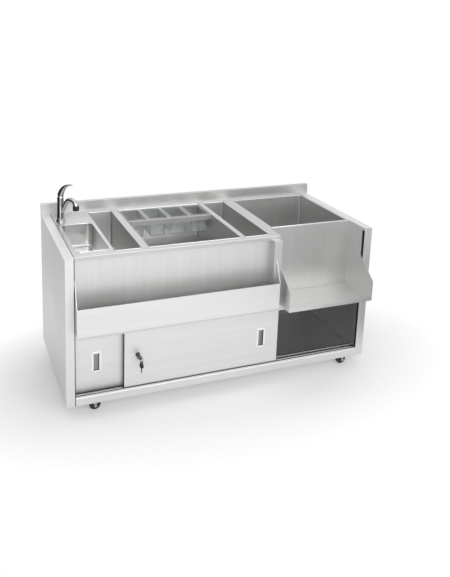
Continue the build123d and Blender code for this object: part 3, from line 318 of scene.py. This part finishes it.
def plated(name, tone, rough):
    """Chrome plate with faint water marks."""
    material, tree, shader = new_material(name)
    spots = pattern(tree, [SPOT_SCALE] * 3, 4)
    film = pattern(tree, [FILM_SCALE] * 3, 2)
    shader.inputs["Metallic"].default_value = 1.0
    dark = [channel * FILM_DARK for channel in tone]
    tree.links.new(toned(tree, film, dark, tone), shader.inputs["Base Color"])
    wear = blended(tree, spots, film, FILM_SHARE)
    tree.links.new(spread(tree, wear, rough, rough + SPOT_ROUGHER), shader.inputs["Roughness"])
    return material


chrome = plated("chrome_plate", (0.50, 0.51, 0.52), 0.05)
finish(chrome, "tap_body", "tap_swivel_cap")
finish(grained_steel("machined_brass", "Z", (0.70, 0.53, 0.26), 0.3), "tap_fixing")


def choose(piece, kind, test):
    """Selects, in edit mode, only the points, edges or faces of a piece that pass a test."""
    bpy.ops.mesh.select_mode(type=kind)
    bpy.ops.mesh.select_all(action="DESELECT")
    mesh = bmesh.from_edit_mesh(piece.data)
    for part in {"VERT": mesh.verts, "EDGE": mesh.edges, "FACE": mesh.faces}[kind]:
        if test(part):
            part.select_set(True)
    mesh.select_flush_mode()
    bmesh.update_edit_mesh(piece.data)


def pulled(*move):
    """Extrudes what is selected by a move."""
    bpy.ops.mesh.extrude_region_move(TRANSFORM_OT_translate={"value": move})


def turned_out():
    """Points all faces of the piece in hand outwards and leaves edit mode."""
    bpy.ops.mesh.select_all(action="SELECT")
    bpy.ops.mesh.normals_make_consistent(inside=False)
    bpy.ops.object.mode_set(mode="OBJECT")


def applied(piece, kind, **values):
    """Adds a modifier to a piece and applies it."""
    step = piece.modifiers.new(kind.lower(), kind)
    for name, value in values.items():
        setattr(step, name, value)
    bpy.ops.object.modifier_apply(modifier=step.name)


# The lever is a swan neck: a round root over the dome of the cap, drawn out to a thin flat tip. Each
# section has its reach, rise, thickness, width and lean.
CAP_DOME = 0.016
LEVER_TURN = math.radians(-50)
LEVER_SEAT = 0.0164
LEVER_SECTIONS = (
    (0.000, 0.005, 0.0350, 0.0280, 14),
    (0.000, 0.0135, 0.0350, 0.0280, 10),
    (0.003, 0.023, 0.0345, 0.0270, 9),
    (0.009, 0.036, 0.0320, 0.0250, 18),
    (0.017, 0.048, 0.0280, 0.0225, 28),
    (0.027, 0.059, 0.0225, 0.0200, 40),
    (0.039, 0.068, 0.0165, 0.0175, 54),
    (0.052, 0.0740, 0.0115, 0.0155, 68),
    (0.065, 0.0770, 0.0085, 0.0140, 80),
    (0.0745, 0.0776, 0.0066, 0.0125, 88),
    (0.0768, 0.0776, 0.0046, 0.0095, 90),
)
cap_low, cap_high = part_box("tap_swivel_cap")
dome_middle = ((cap_low[0] + cap_high[0]) / 2, (cap_low[1] + cap_high[1]) / 2, cap_high[2] - CAP_DOME)
reach, rise, thick, wide, lean = LEVER_SECTIONS[0]
lever = begun(
    bpy.ops.mesh.primitive_circle_add, vertices=20, radius=0.5, fill_type="NGON", location=(reach, 0, rise)
)
bpy.ops.transform.resize(value=(thick, wide, 1), center_override=(reach, 0, rise))
bpy.ops.transform.rotate(value=math.radians(-lean), orient_axis="Y", center_override=(reach, 0, rise))
for section in LEVER_SECTIONS[1:]:
    pulled(section[0] - reach, 0, section[1] - rise)
    centre = (section[0], 0, section[1])
    growth = section[2] / thick
    bpy.ops.transform.resize(value=(growth, section[3] / wide, growth), center_override=centre)
    bpy.ops.transform.rotate(value=math.radians(lean - section[4]), orient_axis="Y", center_override=centre)
    reach, rise, thick, wide, lean = section
turned_out()
applied(lever, "SUBSURF", levels=2, render_levels=2)
bpy.ops.object.select_all(action="DESELECT")
bpy.ops.mesh.primitive_uv_sphere_add(segments=64, ring_count=32, radius=LEVER_SEAT, location=(0, 0, 0))
seat = bpy.context.object
bpy.context.view_layer.objects.active = lever
applied(lever, "BOOLEAN", operation="DIFFERENCE", solver="EXACT", object=seat)
bpy.data.objects.remove(seat)
lever.location = dome_middle
lever.rotation_euler = (0, 0, LEVER_TURN)
settle(lever)
fix_to(lever, "tap_swan_neck_lever", "tap_lever", chrome)
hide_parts("tap_lever")


CLOUD_SCALE = 30.0
CLOUD_SHARE = 0.6
MOULD_SMOOTHER, MOULD_ROUGHER = 0.06, 0.08


def moulded(name, dark, light, rough, texture, depth):
    """Moulded plastic or rubber with a fine texture from its mould."""
    material, tree, shader = new_material(name)
    grain = pattern(tree, [texture] * 3, 3)
    clouds = pattern(tree, [CLOUD_SCALE] * 3, 2)
    colour = toned(tree, blended(tree, grain, clouds, CLOUD_SHARE), dark, light)
    tree.links.new(colour, shader.inputs["Base Color"])
    wear = spread(tree, grain, rough - MOULD_SMOOTHER, rough + MOULD_ROUGHER)
    tree.links.new(wear, shader.inputs["Roughness"])
    raised(tree, shader, grain, depth)
    return material


# The aerator is a moulded ring with grip flutes round it and an open bore, pushed over the spout's end.
AERATOR_BORE = 0.0105
AERATOR_FACETS = 40
AERATOR_SLEEVE = 0.009
AERATOR_WALL = 0.0015
FLUTE_DEPTH = 0.0004
FLUTE_EDGE = 0.0005
FACING = 0.9
EDGE_ON = 0.1
black_plastic = moulded(
    "black_moulded_plastic", (0.012, 0.012, 0.013), (0.03, 0.03, 0.031), 0.38, 900.0, 0.00003
)
ring_low, ring_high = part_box("tap_aerator")
ring_middle = [(low + high) / 2 for low, high in zip(ring_low, ring_high)]
ring_middle[2] += AERATOR_SLEEVE / 2
ring_radius = (ring_high[0] - ring_low[0]) / 2 + AERATOR_WALL - FLUTE_DEPTH
aerator = begun(
    bpy.ops.mesh.primitive_cylinder_add,
    vertices=AERATOR_FACETS,
    radius=ring_radius,
    depth=ring_high[2] - ring_low[2] + AERATOR_SLEEVE,
    location=ring_middle,
)
choose(aerator, "FACE", lambda face: abs(face.normal.z) > FACING)
bpy.ops.mesh.inset(thickness=ring_radius - AERATOR_BORE)
bpy.ops.mesh.bridge_edge_loops()
middle_radius = (ring_radius + AERATOR_BORE) / 2
choose(
    aerator,
    "FACE",
    lambda face: abs(face.normal.z) < EDGE_ON
    and math.dist(face.calc_center_median().xy, ring_middle[:2]) > middle_radius,
)
bpy.ops.mesh.inset(thickness=FLUTE_EDGE, depth=FLUTE_DEPTH, use_individual=True)
bpy.ops.object.mode_set(mode="OBJECT")
settle(aerator)
fix_to(aerator, "ribbed_aerator", "station", black_plastic)
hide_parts("tap_aerator")


# Garnish pans: four lift-out pans in the frame at the back of the glass well.
# Clear polycarbonate, injection moulded, with faint scratches from washing.
SCRATCH_SCALE = (260.0, 18.0, 260.0)
SCRATCH_DEPTH = 0.00001
HAZE_SCALE = 22.0
HAZE_SHARE = 0.4
PAN_CLEARNESS = 0.9
PAN_REFRACTION = 1.58
PAN_DARK, PAN_LIGHT = (0.88, 0.91, 0.91), (0.95, 0.965, 0.965)
PAN_SMOOTHEST, PAN_ROUGHEST = 0.04, 0.16


def clear_plastic(name):
    """Clear plastic with a faint tint and fine scratches."""
    material, tree, shader = new_material(name)
    scratches = pattern(tree, SCRATCH_SCALE, 3)
    haze = pattern(tree, [HAZE_SCALE] * 3, 2)
    shader.inputs["Transmission Weight"].default_value = PAN_CLEARNESS
    shader.inputs["IOR"].default_value = PAN_REFRACTION
    tree.links.new(toned(tree, haze, PAN_DARK, PAN_LIGHT), shader.inputs["Base Color"])
    wear = blended(tree, scratches, haze, HAZE_SHARE)
    tree.links.new(spread(tree, wear, PAN_SMOOTHEST, PAN_ROUGHEST), shader.inputs["Roughness"])
    raised(tree, shader, scratches, SCRATCH_DEPTH)
    return material


finish(clear_plastic("clear_polycarbonate"), *(f"garnish_pan_{number}" for number in (1, 2, 3, 4)))


# Ice bin: liner, foam, jacket and the perforated false floor.
# Folded and welded sheet inside and out, with foam poured between the two skins. An apron folded at
# both edges closes the wall of the shelf bay from the jacket down to the shelf.
finish(grained_steel("ice_liner_stainless", "Z", steel_grey(0.62), 0.38), "ice_liner", "ice_false_floor")
foam = moulded("poured_foam", (0.72, 0.66, 0.45), (0.86, 0.81, 0.62), 0.85, 350.0, 0.0004)
finish(foam, "ice_insulation")
# The jacket takes a darker copy of the sheet: painted shade, carried on to the apron below it.
shaded_jacket_sheet = grained_steel("ice_jacket_painted_shade_stainless", "Z", steel_grey(0.51), 0.46)
finish(shaded_jacket_sheet, "ice_jacket")
APRON_SHEET = 0.0015
APRON_FLANGE = 0.015
APRON_FOLD = 0.0009
SHARP_EDGE = 1.2
jacket_low, jacket_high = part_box("ice_jacket")
apron_x = (jacket_low[0] + APRON_SHEET, jacket_high[0] - APRON_SHEET)
apron_z = (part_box("projecting_shelf")[0][2] + APRON_SHEET, jacket_low[2])
apron = begun(
    bpy.ops.mesh.primitive_cube_add,
    scale=(apron_x[1] - apron_x[0], APRON_SHEET, apron_z[1] - apron_z[0]),
    size=1,
    location=(sum(apron_x) / 2, jacket_low[1] + APRON_SHEET / 2, sum(apron_z) / 2),
)
for fold in (apron_z[0] + APRON_SHEET, apron_z[1] - APRON_SHEET):
    bpy.ops.mesh.select_all(action="SELECT")
    bpy.ops.mesh.bisect(plane_co=(0, 0, fold), plane_no=(0, 0, 1))
choose(apron, "FACE", lambda face: face.normal.y > FACING and face.calc_area() < APRON_SHEET)
pulled(0, APRON_FLANGE, 0)
choose(
    apron,
    "EDGE",
    lambda edge: all(point.co.y < jacket_low[1] + APRON_SHEET / 2 for point in edge.verts)
    and edge.calc_face_angle(0) > SHARP_EDGE
    and edge.calc_length() > APRON_FLANGE
    and abs(edge.verts[0].co.z - edge.verts[1].co.z) < APRON_SHEET,
)
bpy.ops.mesh.bevel(offset=APRON_FOLD, segments=3)
bpy.ops.object.mode_set(mode="OBJECT")
settle(apron)
# The apron shares the jacket's painted shade.
fix_to(apron, "shelf_back_apron", "station", shaded_jacket_sheet)


# Bottle rail and projecting shelf.
# Folded sheet hung on the carcass in front of the worktop, with closed cheeks at the ends.
finish(grained_steel("rail_stainless", "X", steel_grey(0.74), 0.46), "bottle_rail")
finish(grained_steel("shelf_stainless", "X", steel_grey(0.68), 0.44), "projecting_shelf")


# Sliding doors, their flush pulls and rollers.
# Door trays folded from one sheet with a long grain, with a thin near-black band painted at each end as
# the shade in the gaps beside the doors. The pulls are pressed cups: the rim is smoother and painted
# lighter as a highlight, and the cup is painted darker as shade. The rollers are moulded nylon.
FOLD_SHADE_LINE = 0.0012
for which in ("front", "rear"):
    door_sheet = grained_steel(f"{which}_door_stainless", "X", steel_grey(0.72), 0.46)
    door_low, door_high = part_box(f"{which}_door")
    # Painted shade: a thin near-black band at both ends of each door, for the gaps beside it.
    with_painted_shade(door_sheet, *((("X", edge, FOLD_SHADE_LINE),) for edge in (door_low[0], door_high[0])))
    finish(door_sheet, f"{which}_door")
PULL_CORNER = 0.006
PULL_RIM = 0.009
PULL_PROUD = 0.0012
PULL_WALL = 0.001
CUP_ROUND = 0.003
CUP_TAPER = (0.86, 1, 0.94)
RIM_ROUND = 0.0005
RIM_EDGE = 0.8
pull_low, pull_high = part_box("front_door_pull")
pull_middle = ((pull_low[0] + pull_high[0]) / 2, pull_low[1], (pull_low[2] + pull_high[2]) / 2)
cup_floor = (pull_middle[0], pull_high[1] - PULL_WALL, pull_middle[2])
door_face = pull_low[1] + PULL_PROUD
pull = begun(
    bpy.ops.mesh.primitive_plane_add,
    scale=(pull_high[0] - pull_low[0], pull_high[2] - pull_low[2], 1),
    size=1,
    location=pull_middle,
    rotation=(math.pi / 2, 0, 0),
)
bpy.ops.mesh.bevel(offset=PULL_CORNER, segments=6, affect="VERTICES")
bpy.ops.mesh.select_all(action="SELECT")
bpy.ops.mesh.inset(thickness=PULL_RIM)
pulled(0, cup_floor[1] - pull_low[1], 0)
bpy.ops.transform.resize(value=CUP_TAPER, center_override=cup_floor)
choose(pull, "EDGE", lambda edge: all(point.co.y > door_face + PULL_PROUD for point in edge.verts))
bpy.ops.mesh.bevel(offset=CUP_ROUND, segments=3)
choose(pull, "EDGE", lambda edge: edge.is_boundary)
pulled(0, PULL_PROUD, 0)
choose(
    pull,
    "EDGE",
    lambda edge: not edge.is_boundary
    and edge.calc_face_angle(0) > RIM_EDGE
    and all(point.co.y < pull_low[1] + PULL_PROUD / 2 for point in edge.verts),
)
bpy.ops.mesh.bevel(offset=RIM_ROUND, segments=2)
bpy.ops.object.mode_set(mode="OBJECT")
applied(pull, "SOLIDIFY", thickness=PULL_WALL, offset=-1.0)


def copied(piece, shift):
    """A copy of a piece with its own mesh, moved by a shift."""
    twin = piece.copy()
    twin.data = piece.data.copy()
    bpy.context.scene.collection.objects.link(twin)
    twin.location = shift
    settle(twin)
    return twin


# The rim takes a lighter, smoother copy of the door's steel, its lightness a painted highlight; the cup
# takes a darker copy, painted shade for the recess.
pull_rim_highlight_steel = grained_steel("pull_stainless_painted_highlight", "Z", steel_grey(0.92), 0.3)
pull_cup_shade_steel = grained_steel("pull_cup_painted_shade", "Z", steel_grey(0.30), 0.4)
for which in ("front", "rear"):
    which_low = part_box(f"{which}_door_pull")[0]
    flush = copied(pull, Vector(which_low) - Vector(pull_low))
    fix_to(flush, f"{which}_flush_pull", f"{which}_door", pull_rim_highlight_steel)
    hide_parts(f"{which}_door_pull")
    # Faces deep in the cup take the painted shade.
    flush.data.materials.append(pull_cup_shade_steel)
    for face in flush.data.polygons:
        face.material_index = int(face.center.y > which_low[1] + 2 * PULL_PROUD)
bpy.data.objects.remove(pull)
nylon = moulded("white_nylon", (0.78, 0.78, 0.75), (0.88, 0.88, 0.85), 0.42, 600.0, 0.00003)
finish(nylon, *(f"{which}_door_roller_{side}" for which in ("front", "rear") for side in ("left", "right")))


# Push lock with its key, key ring and spare key.
# Die-cast and dark plated housing and plunger, steel wire ring, keys with moulded black heads.
dark_plate = plated("lock_plate", (0.16, 0.16, 0.165), 0.22)
finish(dark_plate, "lock_barrel", "lock_core", "lock_plug", "key_ring", "lock_strike")
finish(black_plastic, "lock_key", "spare_key")


# Castors: plates, and under them the forks with their axles.
# Zinc-plated pressings: a round crown with two tapered legs, and a riveted axle between their eyes.
zinc = grained_steel("zinc_plated_steel", "Z", (0.46, 0.465, 0.475), 0.4)
finish(zinc, "castor_plates")
corners = [f"{row}_{column}" for row in ("front", "rear") for column in ("left", "right")]
FORK_LEG = 0.0025
LEG_TOP = 0.020
LEG_EYE = 0.011
LEG_LEAN = 0.008
LEG_INSET = 0.003
EYE_ROUND = 0.98
AXLE_RADIUS = 0.004
AXLE_HEAD = 0.0055
HEAD_THICK = 0.0026
HEAD_ROUND = 0.0014
CROWN_RADIUS = 0.026
CROWN_THICK = 0.004
CROWN_ROUND = 0.0008
KINGPIN_HOLE = 0.0062
DISC_POINTS = 20
fork_low, fork_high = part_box(f"castor_fork_{corners[0]}")
wheel_low, wheel_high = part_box(f"castor_wheel_{corners[0]}")
axle = Vector([(low + high) / 2 for low, high in zip(wheel_low, wheel_high)])
kingpin = Vector((fork_low[0] + CROWN_RADIUS, axle.y, fork_high[2]))
leg_outer = (fork_high[1] - fork_low[1]) / 2 - LEG_INSET
leg_height = kingpin.z - CROWN_THICK / 2 - axle.z
crown = begun(
    bpy.ops.mesh.primitive_cylinder_add,
    vertices=64,
    radius=CROWN_RADIUS,
    depth=CROWN_THICK,
    location=kingpin - Vector((0, 0, CROWN_THICK / 2)),
)
choose(crown, "EDGE", lambda edge: edge.calc_face_angle(0) > SHARP_EDGE)
bpy.ops.mesh.bevel(offset=CROWN_ROUND, segments=2)
choose(crown, "FACE", lambda face: len(face.verts) > DISC_POINTS)
bpy.ops.mesh.inset(thickness=CROWN_RADIUS - CROWN_ROUND - KINGPIN_HOLE)
bpy.ops.mesh.bridge_edge_loops()
bpy.ops.object.mode_set(mode="OBJECT")
fork_parts = [crown]
for side in (-1, 1):
    leg_y = axle.y + side * (leg_outer - FORK_LEG / 2)
    leg = begun(
        bpy.ops.mesh.primitive_cube_add,
        scale=(LEG_TOP, FORK_LEG, leg_height),
        size=1,
        location=(axle.x, leg_y, axle.z + leg_height / 2),
    )
    choose(leg, "FACE", lambda face: face.normal.z > FACING)
    bpy.ops.transform.translate(value=(-LEG_LEAN, 0, 0))
    choose(leg, "FACE", lambda face: face.normal.z < -FACING)
    bpy.ops.transform.resize(value=(LEG_EYE / LEG_TOP, 1, 1), center_override=(axle.x, leg_y, axle.z))
    pulled(0, 0, -LEG_EYE / 2)
    choose(
        leg,
        "EDGE",
        lambda edge: all(point.co.z < axle.z - LEG_EYE / 4 for point in edge.verts)
        and abs(edge.verts[0].co.y - edge.verts[1].co.y) > FORK_LEG / 2,
    )
    bpy.ops.mesh.bevel(offset=LEG_EYE / 2 * EYE_ROUND, segments=6)
    bpy.ops.object.mode_set(mode="OBJECT")
    fork_parts.append(leg)
pin = begun(
    bpy.ops.mesh.primitive_cylinder_add,
    vertices=40,
    radius=AXLE_RADIUS,
    depth=2 * leg_outer,
    location=axle,
    rotation=(math.pi / 2, 0, 0),
)
growth = AXLE_HEAD / AXLE_RADIUS
for side in (-1, 1):
    choose(pin, "FACE", lambda face: face.normal.y * side > FACING)
    pulled(0, 0, 0)
    pin_end = axle + Vector((0, side * leg_outer, 0))
    bpy.ops.transform.resize(value=(growth, 1, growth), center_override=pin_end)
    pulled(0, side * (HEAD_THICK - HEAD_ROUND), 0)
    bpy.ops.mesh.inset(thickness=HEAD_ROUND)
    bpy.ops.transform.translate(value=(0, side * HEAD_ROUND, 0))
bpy.ops.object.mode_set(mode="OBJECT")
bpy.ops.object.select_all(action="DESELECT")
for part in (*fork_parts, pin):
    part.select_set(True)
bpy.context.view_layer.objects.active = crown
bpy.ops.object.join()
bpy.ops.object.mode_set(mode="EDIT")
turned_out()
for corner in corners:
    fork = copied(crown, Vector(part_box(f"castor_fork_{corner}")[0]) - Vector(fork_low))
    fix_to(fork, f"pressed_fork_{corner}", f"castor_{corner}", zinc)
    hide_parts(f"castor_fork_{corner}")
bpy.data.objects.remove(crown)


# Castor wheels: a tyre on a hub.
# The tyre is black rubber with a rounded tread and one groove. The hub is moulded, dished on both
# sides round its boss.
HUB_RADIUS = 0.0185
HUB_BOSS = 0.008
HUB_BORE = 0.0042
HUB_DISH = 0.004
HUB_RIM = 0.002
HUB_SLOPE = 0.0015
HUB_ROUND = 0.0008
TREAD_ROUND = 0.004
GROOVE_HALF = 0.0011
GROOVE_SCALE = 0.965
BOSS_PROUD = 0.0007
TREAD_MARGIN = 0.001
tread_radius = (wheel_high[2] - wheel_low[2]) / 2
boss_half = (wheel_high[1] - wheel_low[1]) / 2
tread_half = boss_half - BOSS_PROUD
on_tread = tread_radius - TREAD_MARGIN


def across(point):
    """How far a point stands from the wheel's axle."""
    return math.hypot(point.x - axle.x, point.z - axle.z)


tyre = begun(
    bpy.ops.mesh.primitive_cylinder_add,
    vertices=72,
    radius=tread_radius,
    depth=2 * tread_half,
    location=axle,
    rotation=(math.pi / 2, 0, 0),
)
choose(tyre, "FACE", lambda face: abs(face.normal.y) > FACING)
bpy.ops.mesh.inset(thickness=tread_radius - HUB_RADIUS)
bpy.ops.mesh.bridge_edge_loops()
choose(
    tyre,
    "EDGE",
    lambda edge: edge.calc_face_angle(0) > SHARP_EDGE
    and all(across(point.co) > on_tread for point in edge.verts),
)
bpy.ops.mesh.bevel(offset=TREAD_ROUND, segments=5)
for side in (-GROOVE_HALF, GROOVE_HALF):
    bpy.ops.mesh.select_all(action="SELECT")
    bpy.ops.mesh.bisect(plane_co=axle + Vector((0, side, 0)), plane_no=(0, 1, 0))
choose(
    tyre,
    "FACE",
    lambda face: abs(face.calc_center_median().y - axle.y) < GROOVE_HALF / 2
    and across(face.calc_center_median()) > on_tread,
)
pulled(0, 0, 0)
bpy.ops.transform.resize(value=(GROOVE_SCALE, 1, GROOVE_SCALE), center_override=axle)
turned_out()

hub = begun(
    bpy.ops.mesh.primitive_cylinder_add,
    vertices=72,
    radius=HUB_RADIUS,
    depth=2 * (tread_half - HUB_SLOPE),
    location=axle,
    rotation=(math.pi / 2, 0, 0),
)
for side in (-1, 1):
    choose(hub, "FACE", lambda face: face.normal.y * side > FACING)
    bpy.ops.mesh.inset(thickness=HUB_RIM)
    bpy.ops.mesh.inset(thickness=HUB_RADIUS - HUB_RIM - HUB_BOSS - HUB_SLOPE)
    bpy.ops.transform.translate(value=(0, -side * (HUB_DISH - HUB_SLOPE), 0))
    bpy.ops.mesh.inset(thickness=HUB_SLOPE)
    pulled(0, side * (boss_half - tread_half + HUB_DISH), 0)
    bpy.ops.mesh.inset(thickness=HUB_BOSS - HUB_BORE)
choose(hub, "FACE", lambda face: len(face.verts) > DISC_POINTS)
bpy.ops.mesh.bridge_edge_loops()
choose(
    hub,
    "EDGE",
    lambda edge: edge.calc_face_angle(0) > SHARP_EDGE
    and abs(abs(edge.verts[0].co.y - axle.y) - boss_half) < HUB_ROUND / 4
    and all(across(point.co) > HUB_BORE + HUB_ROUND for point in edge.verts),
)
bpy.ops.mesh.bevel(offset=HUB_ROUND, segments=2)
turned_out()

rubber = moulded("black_rubber", (0.01, 0.01, 0.01), (0.026, 0.026, 0.026), 0.6, 500.0, 0.00006)
for corner in corners:
    shift = Vector(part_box(f"castor_wheel_{corner}")[0]) - Vector(wheel_low)
    for model, kind, slot, material in (
        (tyre, "tyre", "castor_tyre", rubber),
        (hub, "hub", "dark_plastic", black_plastic),
    ):
        wheel_part = copied(model, shift)
        fix_to(wheel_part, f"castor_{kind}_{corner}", f"wheel_{corner}", material)
        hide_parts(f"castor_wheel_{corner}")
for model in (tyre, hub):
    bpy.data.objects.remove(model)


# Studio: a pale floor that fades into the white background.
# The floor is a plain matt sheet that keeps the station's soft shadow.
FLOOR_TONE = (0.86, 0.86, 0.86)
FLOOR_SIZE = 30
MATT = 0.9
SHADOW_REACH = (0.95, 0.55)
FADE_FROM = 0.9
FADE_TO = 1.5
FADE_LOW = 0.25
bpy.ops.object.select_all(action="DESELECT")
bpy.ops.mesh.primitive_plane_add(size=FLOOR_SIZE, location=(0, 0, 0))
floor = bpy.context.object
floor.name = "floor"
floor_material, tree, shader = new_material("studio_floor")
shader.inputs["Base Color"].default_value = (*FLOOR_TONE, 1)
shader.inputs["Roughness"].default_value = MATT


def seen_directly(tree):
    """1 for rays from the camera, from metal and through glass, and 0 for rays that carry soft light."""
    path = tree.nodes.new("ShaderNodeLightPath")
    either = worked_out(tree, "MAXIMUM", path.outputs["Is Camera Ray"], path.outputs["Is Glossy Ray"])
    return worked_out(tree, "MAXIMUM", either, path.outputs["Is Transmission Ray"])


white = tree.nodes.new("ShaderNodeEmission")
white.inputs["Color"].default_value = (1, 1, 1, 1)
white.inputs["Strength"].default_value = 1.0
place = tree.nodes.new("ShaderNodeTexCoord")
squeeze = tree.nodes.new("ShaderNodeMapping")
squeeze.inputs["Scale"].default_value = (1 / SHADOW_REACH[0], 1 / SHADOW_REACH[1], 1)
tree.links.new(place.outputs["Object"], squeeze.inputs["Vector"])
distance = tree.nodes.new("ShaderNodeVectorMath")
distance.operation = "LENGTH"
tree.links.new(squeeze.outputs["Vector"], distance.inputs[0])
fade = tree.nodes.new("ShaderNodeMapRange")
fade.inputs["From Min"].default_value = FADE_FROM
fade.inputs["From Max"].default_value = FADE_TO
fade.inputs["To Min"].default_value = FADE_LOW
fade.inputs["To Max"].default_value = 1.0
tree.links.new(distance.outputs["Value"], fade.inputs["Value"])
share = worked_out(tree, "MULTIPLY", fade.outputs["Result"], seen_directly(tree))
mix = tree.nodes.new("ShaderNodeMixShader")
tree.links.new(share, mix.inputs["Fac"])
tree.links.new(shader.outputs["BSDF"], mix.inputs[1])
tree.links.new(white.outputs["Emission"], mix.inputs[2])
tree.links.new(mix.outputs["Shader"], tree.nodes["Material Output"].inputs["Surface"])
floor.data.materials.append(floor_material)


# Background: white to the eye and in the metal, softer as a light.
SOFT_STRENGTH = 0.5
world = bpy.data.worlds.new("white_studio")
bpy.context.scene.world = world
world.use_nodes = True
tree = world.node_tree
soft = tree.nodes["Background"]
soft.inputs["Color"].default_value = (1, 1, 1, 1)
soft.inputs["Strength"].default_value = SOFT_STRENGTH
bright = tree.nodes.new("ShaderNodeBackground")
bright.inputs["Color"].default_value = (1, 1, 1, 1)
bright.inputs["Strength"].default_value = 1.0
mix = tree.nodes.new("ShaderNodeMixShader")
tree.links.new(seen_directly(tree), mix.inputs["Fac"])
tree.links.new(soft.outputs["Background"], mix.inputs[1])
tree.links.new(bright.outputs["Background"], mix.inputs[2])
tree.links.new(mix.outputs["Shader"], tree.nodes["World Output"].inputs["Surface"])


# Lamps: large soft boxes at both sides in front, overhead and behind.
AIM = Vector((0, 0, 0.45))


def soft_box(name, at, size, power):
    """A square soft box turned towards the station."""
    lamp = bpy.data.lights.new(name, "AREA")
    lamp.shape = "SQUARE"
    lamp.size = size
    lamp.energy = power
    box = bpy.data.objects.new(name, lamp)
    bpy.context.scene.collection.objects.link(box)
    box.location = at
    box.rotation_mode = "QUATERNION"
    box.rotation_quaternion = (AIM - Vector(at)).to_track_quat("-Z", "Y")


soft_box("left_box", (-1.0, -3.4, 2.0), 2.0, 50)
soft_box("right_box", (1.3, -3.4, 2.0), 2.0, 42)
soft_box("top_box", (0.2, -0.2, 3.4), 2.6, 10)
soft_box("rear_box", (-0.6, 3.6, 2.4), 2.4, 6)


# Flags: a dark cloth at the left and one on the floor at the right, seen only in the metal.
CLOTH_TONE = (0.03, 0.03, 0.03, 1)
cloth, _, shader = new_material("flag_cloth")
shader.inputs["Base Color"].default_value = CLOTH_TONE
shader.inputs["Roughness"].default_value = MATT


def hung_flag(name, at, turn, size):
    """A dark cloth that only the metal sees."""
    bpy.ops.object.select_all(action="DESELECT")
    bpy.ops.mesh.primitive_plane_add(size=1, location=at, rotation=turn)
    flag = bpy.context.object
    flag.name = name
    flag.scale = (*size, 1)
    flag.data.materials.append(cloth)
    flag.visible_camera = False
    flag.visible_diffuse = False
    flag.visible_shadow = False
    flag.visible_transmission = False


hung_flag("side_flag", (-2.3, 0.2, 1.0), (0, math.pi / 2, 0), (2.0, 4.4))
hung_flag("floor_flag", (2.1, -1.7, 0.003), (0, 0, 0), (2.2, 2.6))


# Camera: the photograph's place, angle and lens.
CAMERA_AT = (-1.2813, -3.1008, 1.8922)
CAMERA_YAW = 0.3735
CAMERA_PITCH = 0.2121
CAMERA_ROLL = 0.0293
FOCAL_PIXELS = 677.4
FRAME_PIXELS = 577.0
SENSOR_WIDTH = 36
SHIFT_X = 0.045
SHIFT_Y = -0.24
camera_data = bpy.data.cameras.new("camera")
camera_data.sensor_width = SENSOR_WIDTH
camera_data.lens = FOCAL_PIXELS / FRAME_PIXELS * SENSOR_WIDTH
camera_data.shift_x = SHIFT_X
camera_data.shift_y = SHIFT_Y
camera = bpy.data.objects.new("camera", camera_data)
bpy.context.scene.collection.objects.link(camera)
aim = Matrix.Rotation(-CAMERA_YAW, 4, "Z") @ Matrix.Rotation(math.pi / 2 - CAMERA_PITCH, 4, "X")
camera.matrix_world = Matrix.Translation(CAMERA_AT) @ aim @ Matrix.Rotation(CAMERA_ROLL, 4, "Z")
bpy.context.scene.camera = camera
bpy.context.scene.view_settings.view_transform = "Standard"
